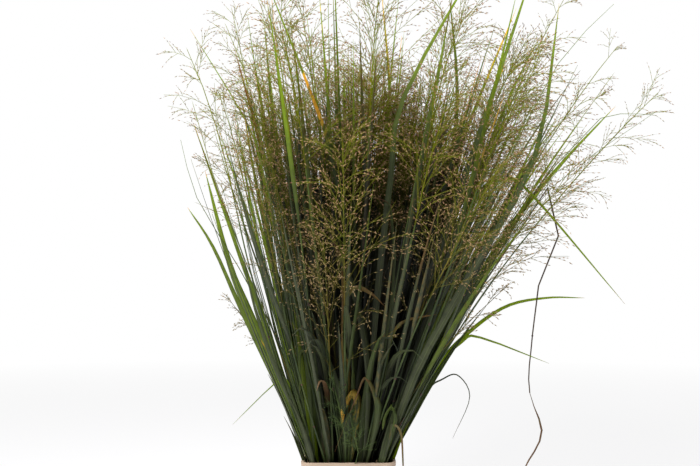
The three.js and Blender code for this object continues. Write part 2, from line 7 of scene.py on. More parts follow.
import math
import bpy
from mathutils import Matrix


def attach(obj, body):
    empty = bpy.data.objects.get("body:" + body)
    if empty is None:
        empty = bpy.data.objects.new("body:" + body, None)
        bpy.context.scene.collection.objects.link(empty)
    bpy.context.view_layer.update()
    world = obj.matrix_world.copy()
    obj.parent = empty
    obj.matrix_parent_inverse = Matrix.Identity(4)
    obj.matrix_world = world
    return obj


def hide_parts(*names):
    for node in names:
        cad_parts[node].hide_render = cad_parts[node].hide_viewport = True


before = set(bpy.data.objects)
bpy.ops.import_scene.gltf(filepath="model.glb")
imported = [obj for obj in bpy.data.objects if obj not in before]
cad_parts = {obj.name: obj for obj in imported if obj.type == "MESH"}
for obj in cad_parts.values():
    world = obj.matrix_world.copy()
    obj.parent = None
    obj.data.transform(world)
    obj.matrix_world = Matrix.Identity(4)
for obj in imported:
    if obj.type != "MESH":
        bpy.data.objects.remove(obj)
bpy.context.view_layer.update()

from types import SimpleNamespace

import bmesh
import bpy
import numpy as np

MM = 0.001
DEGREES = math.pi / 180

# ---------------------------------------------------------------- sizes, in millimetres
GAP = 0.35  # between a piece and what it stands in or on
POT = SimpleNamespace(
    width=160, foot=124, height=150, wall=5, corner=16, least_corner=4, floor=8, lip=1.6,
    band=1.2, band_from=128,  # how far the band round its rim stands out, and from what height
)
DRAIN = SimpleNamespace(radius=5, spread=34, sides=24)
SOIL_TOP = 130
CROWN = SimpleNamespace(knobs=((-24, 7), (-8, 8), (0, 8.5), (2, 7), (3, 2)))  # heights in the soil, and radii
STUMPS = SimpleNamespace(per_tuft=11, height=(8, 26), rings=(0, 0.55, 0.93, 1), radii=(2.4, 2.1, 1.7, 0.4))
CLUMP = SimpleNamespace(columns=5, rows=4, spacing_x=26, spacing_y=33, shift=4, jitter=2)
ROOT_DEPTH = 3  # how far under the compost's surface blades and culms sprout
SPROUT = SimpleNamespace(  # how far from a tuft's middle, and where a culm's direction is taken
    culm=3, inner_culm=4, blade=5, direction=6, lone_leaf=6, lone_panicle=5, young_panicle=7
)
FAN = SimpleNamespace(left=0.36, right=0.48, depthways=0.33, reach_x=57, reach_y=50, steepest=0.5)
SIDE_BEND = SimpleNamespace(left=32, right=8, arched=26)
LEAF_LEAN = SimpleNamespace(left=0.4, right=0.6)  # the steepest slopes sideways that a leaf starts with

# What grows has ranges for its length and width, for how far it bends in degrees, and for how late along
# it the bend comes. Its stray is a slope, sideways and depthways. A blade is turned about its own length
# at its foot, and twists on along it, by at most so many radians.
CULM = SimpleNamespace(
    radius=1.5, tip=1.1, length=(480, 700), leaves=(6, 12, 18), stray=(0.1, 0.06), bend=(-3, 4), late=1.4
)
SHORTER = SimpleNamespace(front=0.15, second=0.3, outermost=0.3)  # shares of a culm's length
INNER = SimpleNamespace(  # the shorter culms between the others
    per_tuft=(1, 2, 2, 2, 1),  # by column
    lengths=((170, 330), (250, 430), (330, 520), (380, 560)),  # by row, from the front
    upright=(0.85, 0.75, 1),
    stray=(0.12, 0.08),
    bend=(-3, 6),
    branches=3,
)
SHEATH = SimpleNamespace(  # of a leaf, round its culm, above a swollen ring
    steps=4, thickness=0.35, swelling=0.55, ring=(-0.024, -0.012, 0.012, 0.024)
)
BLADE = SimpleNamespace(
    root_share=0.26, full_at=0.3, narrows_at=0.35, taper=0.85,  # its width, by shares of its length
    rings=4, rows=12, columns=4, thickness=0.4, thinnest=0.24,
    ripple=(0.1, 0.5), waves=(2, 5), channel=0.42, flatter=0.3,
    on_culm=0.72,  # how wide the dressed blade of a culm is, of the solid one
)
CULM_BLADE = SimpleNamespace(
    spread=(0.08, 0.2), bend=(-6, 10), length=(300, 470), late=(1.2, 2.2), turned=0.6, twist=0.5,
    width=(9, 13),
)
BASAL_BLADE = SimpleNamespace(
    spread=(0.02, 0.1), bend=(-6, 8), length=(330, 620), late=(1.3, 2.2), turned=0.9, twist=0.6,
    width=(10, 14), per_tuft=3,
)
RACHIS = SimpleNamespace(foot=1.1, tip=0.75, length=(230, 320), bend=(2, 22), late=1.5)
BRANCH = SimpleNamespace(
    per_panicle=4, radius=0.4, spikelet=4.6, belly=1.0, length=(110, 165), opened=(28, 48), bend=(6, 34),
    late=1.2, shorter_up=0.55, first=2, last=21,  # the steps of the rachis where they leave it
)
EACH_TRY = SimpleNamespace(  # how much shorter, and turned how much further round
    blade=0.05, branch=0.06, culm_blade_turn=0.9, basal_blade_turn=0.5, branch_turn=0.8
)
FINE = 24  # steps along every line
CELL = 4  # the room that a piece takes is kept in cubes of this size
NEAR_ROOT = 80  # a piece may touch its own tuft or panicle this far from its root
TRIES = 12
GOLDEN_TURN = 137.5 * DEGREES

# Leaf blades that set the clump's outline, or are folded over at its front: the tuft's column and row,
# the blade's width, its turn about its own length at its foot and tip in degrees, its look, and the
# points that it passes after its root.
SHAPED_BLADES = (
    # the left edge
    ((0, 1), 15, (80, 70), "bright", ((-167, -20, 387), (-207, -22, 488), (-249, -20, 648))),
    ((0, 2), 9, (70, 60), "bright", ((-185, 20, 394), (-239, 20, 514), (-284, 20, 584))),
    ((0, 0), 10, (95, 70), "bright", ((-144, -80, 394), (-178, -95, 488), (-258, -110, 721))),
    ((0, 3), 9, (80, 60), "bright", ((-140, 60, 439), (-176, 80, 551), (-235, 95, 724))),
    ((1, 3), 9, (80, 50), "bright",
     ((-85, 120, 439), (-141, 160, 614), (-193, 180, 749), (-300, 200, 925))),
    ((0, 2), 8, (80, 90), "browning", ((-102, 60, 450), (-160, 70, 700), (-206, 75, 872))),
    # the top
    ((2, 0), 9, (90, 60), "streaked", ((3, -84, 480), (-30, -118, 673), (-65, -130, 778), (-140, -145, 967))),
    ((1, 2), 9, (70, 85), "rising", ((-27, 40, 510), (-33, 45, 682), (-37, 50, 1010))),
    ((2, 1), 14, (95, 80), "rising", ((-3, -55, 426), (-9, -80, 595), (-24, -100, 985))),
    ((2, 2), 10, (80, 95), "yellowing", ((45, 50, 425), (67, 65, 629), (74, 70, 790), (59, 70, 979))),
    ((3, 0), 11, (80, 100), "rising",
     ((48, -108, 427), (70, -135, 628), (91, -150, 762), (217, -185, 990))),
    ((3, 2), 9, (60, 80), "bluish", ((120, 60, 480), (180, 80, 650), (197, 85, 796), (181, 85, 985))),
    ((3, 1), 14, (85, 70), "rising", ((87, -60, 340), (154, -85, 510), (225, -100, 721), (312, -110, 990))),
    ((4, 0), 12, (80, 85), "rising",
     ((110, -110, 300), (192, -150, 458), (304, -170, 666), (342, -175, 912))),
    ((4, 3), 9, (60, 90), "yellowing", ((150, 140, 480), (210, 180, 700), (318, 200, 965))),
    # the right edge, arching over
    ((4, 2), 11, (70, 60), "bright", ((199, 45, 388), (265, 60, 514), (372, 70, 651), (482, 75, 768))),
    ((4, 1), 10, (60, 30), "arching",
     ((140, -25, 420), (219, -30, 596), (270, -30, 632), (317, -30, 605), (478, -30, 416))),
    ((4, 2), 8, (50, 20), "arching",
     ((158, 25, 300), (206, 28, 357), (277, 30, 408), (350, 30, 424), (419, 30, 424))),
    ((4, 1), 7, (50, 20), "arching", ((143, -10, 290), (197, -14, 350), (230, -14, 357), (349, -14, 312))),
    ((4, 2), 4, (40, 0), "thin",
     ((133, 10, 255), (165, 10, 282), (192, 10, 289), (213, 10, 250), (183, 10, 178))),
    ((0, 1), 4, (40, 0), "arching", ((-96, -35, 250), (-106, -40, 285), (-127, -42, 280), (-199, -45, 210))),
    # folded over at the front
    ((0, 0), 6, (80, 80), "dark", ((-67, -82, 290), (-73, -84, 336), (-82, -84, 330), (-82, -82, 264))),
    ((2, 0), 11, (70, 40), "golden", ((17, -76, 240), (8, -92, 268), (-7, -98, 246), (-11, -96, 218))),
    ((3, 0), 7, (60, 30), "brown",
     ((48, -90, 226), (48, -96, 258), (29, -102, 296), (12, -106, 262), (-23, -104, 173))),
    ((4, 0), 9, (80, 50), "dark", ((79, -92, 215), (74, -100, 246), (62, -106, 232), (57, -104, 209))),
    ((4, 0), 5, (60, 30), "hanging", ((70, -88, 191), (74, -94, 216), (88, -102, 203), (92, -104, 140))),
    ((3, 0), 7, (70, 30), "olive", ((60, -96, 290), (72, -112, 362), (93, -118, 392), (147, -122, 404))),
    ((2, 0), 10, (80, 40), "olive",
     ((-2, -96, 285), (-8, -118, 392), (8, -130, 446), (36, -134, 440), (60, -134, 418))),
    ((3, 0), 13, (85, 70), "brown_tipped",
     ((36, -92, 296), (14, -108, 427), (-14, -114, 500), (-30, -116, 540))),
    ((3, 0), 13, (95, 100), "brown_tipped",
     ((74, -124, 440), (72, -140, 560), (63, -146, 590), (38, -150, 597))),
)

# How much lighter a blade is made over a height in metres, from where it is lit, as painted light, and along
# its length.
LIGHTENS = SimpleNamespace(over=0.34, by=0.7, along=0.1, none_at=0.4, most=1.05)
DRIES_SOON = 0.7  # under 1, the drying comes soon after its start
# Blades without a look of their own get a painted shade inside the clump, and painted light towards its
# sides, above all the right one. A few die back from the foot, many are a little dull all over, and the rest
# dry at the
# tip: each kind's share of the draw, and the ranges that its drying, dryness and gold come from.
PLAIN_LOOK = SimpleNamespace(
    inside=SimpleNamespace(tone=(-0.1, 0.3), lit_from=0.6),
    least=0.03, painted_light_at_edge=0.2, painted_light_at_right=0.35, edge_at=60, varies=0.55, varies_at_edge=0.5, mostly_low=2.4,
    dying=SimpleNamespace(under=0.1, dry_from=(-0.2, 0.5), dryness=(0.4, 0.9)),
    dull=SimpleNamespace(under=0.48, dry_from=-3, dryness=(0.15, 0.42)),
    rest=SimpleNamespace(dry_from=(0.8, 0.97), dryness=(0.1, 0.6), gold=(0, 0.5)),
)


def leaf_look(tone, dry_from, dryness, gold, **more):
    """How green a blade is, where along it the drying starts, how dry its tip is, and how golden that is.

    The tone goes from 0, dark with painted shade, through glaucous, to 1, bright, and painted light makes a
    blade lighter above the height in metres that it is lit from. The drying may end before the tip. A drawn
    blade may also be so many times as broad as the solid one, taper sooner or later, have a turn of its own,
    or be folded over.
    """
    usual = {"lit_from": 0.5, "dry_to": 1, "broad": 1.2, "taper": 0.6, "turn": None, "folded": False}
    return SimpleNamespace(tone=tone, dry_from=dry_from, dryness=dryness, gold=gold, **(usual | more))


LOOKS = {
    "bright": leaf_look(0.8, 0.93, 0.5, 0.6, broad=1),
    "arching": leaf_look(0.95, 0.9, 0.4, 0.3, broad=0.95, turn=(60, 85)),
    "thin": leaf_look(0.3, 0.7, 0.4, 0, broad=0.7, turn=(70, 85), folded=True),
    "rising": leaf_look(0.24, 0.93, 0.4, 0.6),
    "bluish": leaf_look(0.05, 0.9, 0.4, 0),
    "bluish_green": leaf_look(0.34, 0.9, 0.4, 0),
    "weathered": leaf_look(0.35, -1, 0.62, 0.25),
    "browning": leaf_look(0.45, 0.45, 0.9, 0.2),
    "yellowing": leaf_look(0.45, 0.6, 0.45, 0.8),
    "streaked": leaf_look(0.3, 0.42, 0.9, 1, dry_to=0.77, broad=0.9),
    "dark": leaf_look(0.62, 0.85, 0.4, 0, broad=1.6, turn=(10, 170), folded=True),
    "golden": leaf_look(0.5, -0.35, 0.56, 1, broad=1.7, turn=(10, 165), folded=True),
    "brown": leaf_look(0.45, 0.2, 0.85, 0, broad=1.7, taper=1.6, turn=(10, 150), folded=True),
    "hanging": leaf_look(0.2, -0.3, 0.5, 0, broad=1, taper=0.25, turn=(120, 55), folded=True),
    "olive": leaf_look(0.5, 0.1, 0.6, 0.1, turn=(10, 110), folded=True),
    "brown_tipped": leaf_look(0.3, 0.62, 0.95, 0),
}

DRY_CULM = SimpleNamespace(
    foot=(40, 0),
    depth=6,
    rising=((199, 15, 388), (300, 18, 541), (351, 18, 618)),
    hanging=(
        (370, 18, 534), (335, 18, 446), (323, 16, 350), (318, 14, 264),
        (340, 12, 189), (312, 10, 131), (297, 8, 98),
    ),
    stem_radius=1.45,
    joints=SimpleNamespace(  # the steps where they are, and their shape
        rising=(14, FINE), hanging=(3, 10), heights=(-1.6, -0.7, 0.7, 1.6), radius=1.8
    ),
    leaf_width=6.8,
    leaf_thickness=0.3,
    twist=2.4,
    look=leaf_look(0.1, -2, 0.7, 0),
)

# What only the dressed clump has. Middle blades close the clump's heart, and skirt blades hide the rim.
ADDED = SimpleNamespace(late=(1.4, 2.6), twist=0.9)
MIDDLE_BLADES = SimpleNamespace(
    per_tuft=(2, 13, 18, 16, 6),  # by column
    more=(0.36, 1.2, 1.9, 1.6),  # times that, by row from the front
    stray=(0.08, 0.1, 0.14, 0.16),  # by row
    stray_depthways=0.04,
    set_back=(7, 3, 3, 3),  # by row
    lengths=((150, 350), (300, 480), (540, 720), (580, 760)),  # by row
    width=(13, 20),
    broad=(0.7, 1, 1, 0.85, 0.7),  # times that, by column
    bend=(-5, 12),
    bent=0.2,  # the share of them that arch right over
    bent_bend=(50, 120),
    bent_sideways=0.3,
    bent_forwards=-0.25,
    upright=SimpleNamespace(left=0.62, right=0.92, depthways=0.45),
    turned=0.75,
    rows=9,
)
# More blades, given one by one, in the same order as those that the solid model has too.
MORE_SHAPED_BLADES = (
    ((4, 0), 11, (80, 80), "bright", ((100, -72, 280), (129, -80, 348), (155, -84, 400), (205, -90, 520))),
    ((4, 1), 8, (80, 80), "bright", ((120, -25, 300), (190, -30, 420), (262, -34, 560), (330, -36, 720))),
    ((2, 0), 13, (20, 40), "weathered", ((-2, -84, 279), (-6, -98, 351), (-7, -104, 430), (-12, -108, 497))),
    ((2, 0), 6, (20, 50), "dark", ((8, -88, 270), (7, -104, 340), (-2, -110, 385), (-10, -112, 404))),
    ((2, 0), 13, (20, 30), "bluish_green",
     ((-10, -78, 230), (-22, -92, 290), (-43, -102, 345), (-62, -106, 410))),
    ((0, 0), 5, (20, 60), "yellowing",
     ((-85, -74, 230), (-108, -84, 291), (-129, -90, 329), (-148, -94, 360))),
    ((3, 3), 12, (80, 80), "bluish_green",
     ((118, 90, 400), (177, 110, 585), (202, 116, 673), (218, 120, 745))),
    ((2, 3), 11, (10, 20), "bluish_green", ((-8, 110, 430), (-11, 125, 600), (-10, 130, 760))),
    ((3, 3), 11, (10, 20), "bluish_green", ((72, 100, 430), (88, 118, 600), (97, 125, 760))),
)
SKIRT_BLADES = SimpleNamespace(
    per_tuft=(3, 9, 9, 9, 5), length=(120, 310), shorter=(0.6, 1, 1, 1, 0.75), width=(9, 15), bend=(4, 18),
    slope=(0.2, 0.42), spread=24, farthest=70, turned=1.2, rows=8,
)
TALL_BLADES = SimpleNamespace(
    per_tuft=(0, 3, 4, 4, 2), front=1, length=(680, 900), width=(10, 15), upright=(0.85, 0.6, 1),
    stray=(0.1, 0.06), bend=(-4, 7), turned=0.9, leaning_shorter=0.25, lit_from=0.46, rows=14,
)
ROLLED_LEAVES = SimpleNamespace(
    per_tuft=(12, 14, 4, 8, 18), length=(330, 720), foot=1.3, tip=0.3, upright=(0.95, 0.8, 1),
    stray=(0.08, 0.06), bend=(-5, 9), late=(1.2, 2.2),
)
# Single rolled leaves that stand clear of the clump: the tuft's column and row, and the points passed.
LONE_LEAVES = (
    ((4, 1), ((120, 0, 300), (240, 0, 470), (358, 0, 621), (536, 0, 750))),
    ((4, 1), ((150, 20, 380), (270, 20, 640), (370, 20, 838), (468, 20, 943))),
    ((4, 2), ((130, 30, 330), (290, 50, 560), (440, 58, 735), (500, 60, 752), (552, 60, 750))),
    ((0, 1), ((-96, -30, 300), (-190, -30, 480), (-262, -30, 600), (-290, -30, 700))),
)
# Airy panicles at the clump's sides, on drawn stems.
LONE_PANICLES = (
    ((0, 1), ((-150, -20, 420), (-222, -20, 600), (-272, -20, 770))),
    ((0, 0), ((-130, -70, 300), (-185, -80, 420), (-238, -90, 520))),
    ((0, 2), ((-110, 40, 280), (-160, 50, 350), (-222, 60, 430))),
    ((4, 1), ((150, -20, 330), (290, -30, 480), (430, -30, 600))),
    ((4, 2), ((160, 40, 360), (330, 60, 620), (480, 70, 830))),
    ((4, 0), ((110, -90, 280), (190, -120, 380), (270, -140, 460))),
)
LONE_PANICLE_NUMBER = 900  # from which their draws are numbered
# A panicle's added branches: how many, and how long, by where its middle is sideways. The inner culms'
# panicles have more of them, by row from the front.
BRANCHES = SimpleNamespace(
    where=(-230, -150, -60, 0, 240, 330, 420),
    count=(1, 3, 18, 36, 28, 5, 2),
    reach=(0.5, 0.8, 1.1, 1.15, 1.1, 0.7, 0.5),
    size=(0.7, 0.8, 1, 1, 1, 0.8, 0.7),
    inner=(0.65, 1.9, 2.6, 2.6),
    low=SimpleNamespace(under=600, count=13, reach=0.7),  # panicles that start low have at least so many
    lone=SimpleNamespace(count=5, reach=0.45, first=14),
    first=1,
    last=22,
    opened=(12, 56),
    length=(90, 175),
    bend=(-4, 44),
    shorter_up=0.6,
    foot=0.6,
    nearest=(-298, -325, 0),  # the corners of the box that their tips stay in
    farthest=(530, 372, 1036),
)
SPRAYS = SimpleNamespace(
    per_branch=6, first=(0.2, 0.32), run=0.5, opened=(10, 48), bend=(-10, 50), turned=0.6, length=(28, 54),
    past_tip=8, foot=0.36,
)
SPIKELETS = SimpleNamespace(
    per_spray=4, first=0.25, stray=0.08, turned=0.9, slope=(0.1, 0.7), grown=(0.8, 1.15), length=6.8,
    radius=0.82,
)
YOUNG_PANICLES = (  # low at the front: the points that the stem passes after its root
    ((-6, -90, 190), (-11, -112, 226), (-31, -128, 320)),
    ((16, -92, 160), (13, -110, 186), (3, -116, 230)),
)
YOUNG = SimpleNamespace(
    tuft=(2, 0), stem=0.9, branches=11, first=11, opened=(18, 46), length=(20, 38), size=0.5,
    towards=-1.5, bend=0.1,  # in radians
)
COMPOST = SimpleNamespace(cells=46, uneven=0.8, swell=1.3, crumbs=170, crumb=(0.8, 2.6), farthest=0.93)


# ---------------------------------------------------------------- seeded draws
WORD = 0xFFFFFFFF  # the low 32 bits of a whole number


def draws_for(*path):
    """A draw between two values, from a stream of its own for each path of small whole numbers."""
    state = 7
    for step in path:
        state = state * 64 + step

    def draw(low, high):
        nonlocal state
        state = (state + 0x6D2B79F5) & WORD
        mixed = ((state ^ (state >> 15)) * (state | 1)) & WORD
        mixed ^= (mixed + (mixed ^ (mixed >> 7)) * (mixed | 61)) & WORD
        return low + (high - low) * (mixed ^ (mixed >> 14)) / 2**32

    return draw


STREAM = SimpleNamespace(
    tuft=0, culm=1, culm_blade=2, basal_blade=3, rachis=4, branch=5, inner_culm=6, middle_blade=7,
    more_branches=8, young_branch=9, look=10, crumb=11, skirt_blade=12, rolled=13, tall=14,
)
DRY_LEAF_NUMBER = 60  # of its draws


# ---------------------------------------------------------------- lines
def at(*values):
    return np.array(values, float)


def unit(vector):
    return vector / np.linalg.norm(vector)


def arch_line(root, direction, bend, power, length):
    """A line that starts in a direction and bends over, away from the vertical, as it goes."""
    azimuth = math.atan2(direction[1], direction[0])
    tilt = math.acos(direction[2] / np.linalg.norm(direction))
    angle = tilt + bend * ((np.arange(FINE) + 0.5) / FINE) ** power
    flat = np.sin(angle) * length / FINE
    steps = np.column_stack(
        [flat * math.cos(azimuth), flat * math.sin(azimuth), np.cos(angle) * length / FINE]
    )
    return SimpleNamespace(points=np.cumsum(np.vstack([root, steps]), axis=0), azimuth=azimuth)


def drawn_line(controls):
    """A smooth line through given points."""
    controls = np.array(controls, float)
    last = len(controls) - 1
    padded = np.vstack(
        [2 * controls[0] - controls[1], controls, 2 * controls[last] - controls[last - 1]]
    )
    place = np.arange(FINE + 1) * last / FINE
    stretch = np.minimum(np.floor(place).astype(int), last - 1)
    t = (place - stretch)[:, None]
    p0, p1, p2, p3 = (padded[stretch + i] for i in range(4))
    leave, arrive = (p2 - p0) / 2, (p3 - p1) / 2
    points = (
        p1 + leave * t + (-3 * p1 + 3 * p2 - 2 * leave - arrive) * t**2
        + (2 * p1 - 2 * p2 + leave + arrive) * t**3
    )
    across = points[FINE] - points[0]
    return SimpleNamespace(points=points, azimuth=math.atan2(across[1], across[0]))


def tangent_at(line, k):
    return unit(line.points[min(k + 1, FINE)] - line.points[max(k - 1, 0)])


def across_at(line, k, turn):
    """The unit vector across a line at step k: level at no turn, and turned about the line otherwise."""
    tangent = tangent_at(line, k)
    level = at(-math.sin(line.azimuth), math.cos(line.azimuth), 0)
    level = unit(level - tangent * level.dot(tangent))
    return level * math.cos(turn) + np.cross(tangent, level) * math.sin(turn)


def opening_from(line, k, opened, turn):
    """The direction that opens away from a line at step k, by an angle in degrees, at a turn about it."""
    opened *= DEGREES
    return tangent_at(line, k) * math.cos(opened) + across_at(line, k, turn) * math.sin(opened)


def step_of(i, count, first, last):
    """The step where branch i of so many leaves its stem."""
    return math.floor(first + (last - first) * i / (count - 1) + 0.5)


# ---------------------------------------------------------------- the solid model's rings
def blade_share(u, taper=BLADE.taper):
    """How wide a blade is along its length, as a share of its full width."""
    rise = BLADE.root_share + (1 - BLADE.root_share) * math.sin(min(u / BLADE.full_at, 1) * math.pi / 2)
    return rise * (1 if u < BLADE.narrows_at else ((1 - u) / (1 - BLADE.narrows_at)) ** taper)


def turned_at(turn, share):
    """How far a blade is turned about its own length, between its foot and its tip."""
    return turn[0] + (turn[1] - turn[0]) * share


def blade_rings(line, width, turn, count):
    """Where a blade's section stands at each ring, and the half of its width across there."""
    corner = math.sin(2 * math.pi / 3)
    rings = []
    for i in range(count + 1):
        k = i * FINE // count
        across = across_at(line, k, turned_at(turn, i / count))
        rings.append((line.points[k], across * (width * blade_share(i / count) / 2 / corner)))
    return rings


def stem_rings(line, radii):
    steps = [round(i * FINE / (len(radii) - 1)) for i in range(len(radii))]
    return [(line.points[k], across_at(line, k, 0) * radius) for k, radius in zip(steps, radii)]


def branch_rings(line):
    """A thin branch whose end swells into a spikelet."""
    along = tangent_at(line, FINE)
    rings = stem_rings(line, [BRANCH.radius, BRANCH.radius])
    side = unit(rings[1][1])
    swells = ((1, BRANCH.radius), (0.6, BRANCH.belly), (0, 0))
    return rings[:1] + [
        (line.points[FINE] - along * back * BRANCH.spikelet, side * reach) for back, reach in swells
    ]


def middle_at(rings, share):
    """The point at a share of the way along a swept stem, in the middle of its straight lengths."""
    place = share * (len(rings) - 1)
    i = min(int(place), len(rings) - 2)
    return rings[i][0] + (rings[i + 1][0] - rings[i][0]) * (place - i)


# ---------------------------------------------------------------- the room that each node has
FREE, SHARED = -2, -1  # a cell that nothing is near, and one that more than one node is near
ROOM_CELLS = 320
ROOM_MIDDLE = np.array([ROOM_CELLS // 2, ROOM_CELLS // 2, 20])  # the cell at the origin
room = np.full((ROOM_CELLS,) * 3, FREE, np.int8)
NEIGHBOURS = np.stack(np.meshgrid(*[[-1, 0, 1]] * 3, indexing="ij"), -1).reshape(-1, 3)


def spots_on(rings):
    """Points spread over a swept piece, close enough together that nothing slips between them."""
    found = []
    for (centre_a, side_a), (centre_b, side_b) in zip(rings, rings[1:]):
        steps = math.ceil(np.linalg.norm(centre_b - centre_a) / CELL)
        reach = max(np.linalg.norm(side_a), np.linalg.norm(side_b))
        half = max(1, math.ceil(reach / CELL))
        m = (np.arange(-half, half + 1) / half)[None, :, None]
        t = (np.arange(steps) / steps)[:, None, None]
        start, end = centre_a + side_a * m, centre_b + side_b * m
        found.append((start + (end - start) * t).reshape(-1, 3))
    return np.vstack(found)


def cells_of(spots):
    return np.floor(spots / CELL).astype(int) + ROOM_MIDDLE


def take_room(rings, owner):
    cells = np.unique(cells_of(spots_on(rings)), axis=0)
    x, y, z = np.unique((cells[:, None] + NEIGHBOURS).reshape(-1, 3), axis=0).T
    held = room[x, y, z]
    room[x, y, z] = np.where((held == FREE) | (held == owner), owner, SHARED)


def has_room(rings, owner):
    spots = spots_on(rings)
    held = room[tuple(cells_of(spots).T)]
    near_root = np.linalg.norm(spots - rings[0][0], axis=1) < NEAR_ROOT
    return bool(np.all((held == FREE) | ((held == owner) & near_root)))


def add_where_clear(made, owner, attempt):
    """Adds the first of several tries that is clear of every other node to a list, if one is."""
    for tried in range(TRIES):
        piece = attempt(tried)
        if has_room(piece.rings, owner):
            take_room(piece.rings, owner)
            made.append(piece)
            return


def take_rim_room():
    """The pot's rim keeps its room, so that nothing leans through it."""
    half = (POT.width - POT.wall) / 2
    side = at(0, 0, (POT.height - SOIL_TOP) / 2)
    middle = (POT.height + SOIL_TOP) / 2
    corners = ((1, 1), (-1, 1), (-1, -1), (1, -1), (1, 1))
    take_room([(at(x * half, y * half, middle), side) for x, y in corners], SHARED)


# ---------------------------------------------------------------- the plan: where everything grows
def plan_tufts():
    tufts = []
    for row in range(CLUMP.rows):
        for column in range(CLUMP.columns):
            draw = draws_for(STREAM.tuft, len(tufts))
            shift = CLUMP.shift if row % 2 else -CLUMP.shift
            tufts.append(
                SimpleNamespace(
                    owner=len(tufts),
                    row=row,
                    column=column,
                    culm_count=1 if column == 0 else 2,
                    x=(column - (CLUMP.columns - 1) / 2) * CLUMP.spacing_x + shift
                    + draw(-1, 1) * CLUMP.jitter,
                    y=(row - (CLUMP.rows - 1) / 2) * CLUMP.spacing_y + draw(-1, 1) * CLUMP.jitter,
                    culms=[],
                    blades=[],
                    inner_culms=[],
                    added_blades=[],
                    rolled_leaves=[],
                )
            )
    return tufts


def tuft_at(tuft, place):
    return place == (tuft.column, tuft.row)


def sprout_of(tuft, angle, offset):
    """The point in a tuft's crown where something sprouts, offset from the middle towards an angle."""
    x, y = tuft.x + offset * math.cos(angle), tuft.y + offset * math.sin(angle)
    return at(x, y, SOIL_TOP - ROOT_DEPTH)


def drawn_from(tuft, angle, offset, points):
    """A line drawn through points, from where it sprouts in its tuft."""
    return drawn_line([sprout_of(tuft, angle, offset), *points])


def fan_direction(point):
    """The way that things grow from a point: the clump fans out from its middle."""
    x = (FAN.left if point[0] < 0 else FAN.right) * point[0] / FAN.reach_x
    y = FAN.depthways * point[1] / FAN.reach_y
    share = min(1, FAN.steepest / math.hypot(x, y))
    return at(x * share, y * share, 1)


def side_bend(direction, right=SIDE_BEND.right):
    """What leans to the left straightens up again, and what leans to the right bends over further."""
    return (SIDE_BEND.left if direction[0] < 0 else right) * direction[0]


def within_lean(direction, lean):
    """Keeps a direction within the steepest slopes that it may have to the left and the right."""
    direction[0] = min(max(direction[0], -lean.left), lean.right)
    return direction


def strayed(draw, sideways, depthways):
    """A small slope, to one side and to the front or the back."""
    return at(draw(-sideways, sideways), draw(-depthways, depthways), 0)


def new_blade(line, width, turn, **more):
    usual = {"look": None, "rows": BLADE.rows, "taper": BLADE.taper}
    return SimpleNamespace(line=line, width=width, turn=turn, **(usual | more))


def in_radians(turns):
    return [degrees * DEGREES for degrees in turns]


def shaped_blade(tuft, width, turns, look_name, points):
    """A blade along a drawn line."""
    look = LOOKS[look_name]
    towards = math.atan2(points[0][1] - tuft.y, points[0][0] - tuft.x)
    rows = BLADE.rows * (2 if look.folded or len(points) > 4 else 1)
    line = drawn_from(tuft, towards, SPROUT.blade, points)
    turn = in_radians(look.turn or turns)
    return new_blade(line, width * look.broad, turn, look=look, rows=rows, taper=look.taper)


def plan_shaped_blades(tufts):
    for (column, row), width, turns, look_name, points in SHAPED_BLADES:
        tuft = tufts[row * CLUMP.columns + column]
        blade = shaped_blade(tuft, width, turns, look_name, points)
        rings = blade_rings(blade.line, width, in_radians(turns), 8 if len(points) > 3 else 6)
        take_room(rings, tuft.owner)
        tuft.blades.append(blade)


def shorter_by(tuft, i, direction):
    """The share of its length that a culm lacks. A tuft's second culm is short, but for the rightmost."""
    if tuft.row == 0:
        return SHORTER.front + SHORTER.second * i
    if i == 1:
        return SHORTER.second if tuft.column < CLUMP.columns - 1 else 0
    return SHORTER.outermost * abs(direction[0]) / FAN.right


def grown_culm(tuft, i, tried):
    draw = draws_for(STREAM.culm, tuft.owner, i, tried)
    side = draw(0, math.pi) + i * math.pi
    fanned = fan_direction(sprout_of(tuft, side, SPROUT.direction))
    direction = within_lean(fanned + strayed(draw, *CULM.stray), FAN)
    over = SIDE_BEND.arched if i else SIDE_BEND.right
    bend = (side_bend(direction, over) + draw(*CULM.bend)) * DEGREES
    length = draw(*CULM.length) * (1 - shorter_by(tuft, i, direction))
    line = arch_line(sprout_of(tuft, side, SPROUT.culm), direction, bend, CULM.late, length)
    rings = stem_rings(line, [CULM.radius] * 3 + [CULM.tip])
    return SimpleNamespace(line=line, rings=rings, leaf_side=draw(0, math.pi))


def inner_culm(tuft, i, tried):
    """An inner culm grows on into the rachis of its own panicle."""
    draw = draws_for(STREAM.inner_culm, tuft.owner, i, tried)
    side = draw(0, 2 * math.pi)
    fanned = fan_direction(sprout_of(tuft, side, SPROUT.direction))
    direction = within_lean(fanned * INNER.upright + strayed(draw, *INNER.stray), FAN)
    bend = (side_bend(direction) + draw(*INNER.bend)) * DEGREES
    length = draw(*INNER.lengths[tuft.row])
    line = arch_line(sprout_of(tuft, side, SPROUT.inner_culm), direction, bend, CULM.late, length)
    rachis = rachis_from(line.points[FINE], tangent_at(line, FINE), draw)
    rings = stem_rings(line, [CULM.radius, CULM.radius, CULM.tip]) + rachis.rings[1:]
    return SimpleNamespace(line=line, rachis=rachis, rings=rings, branches=[])


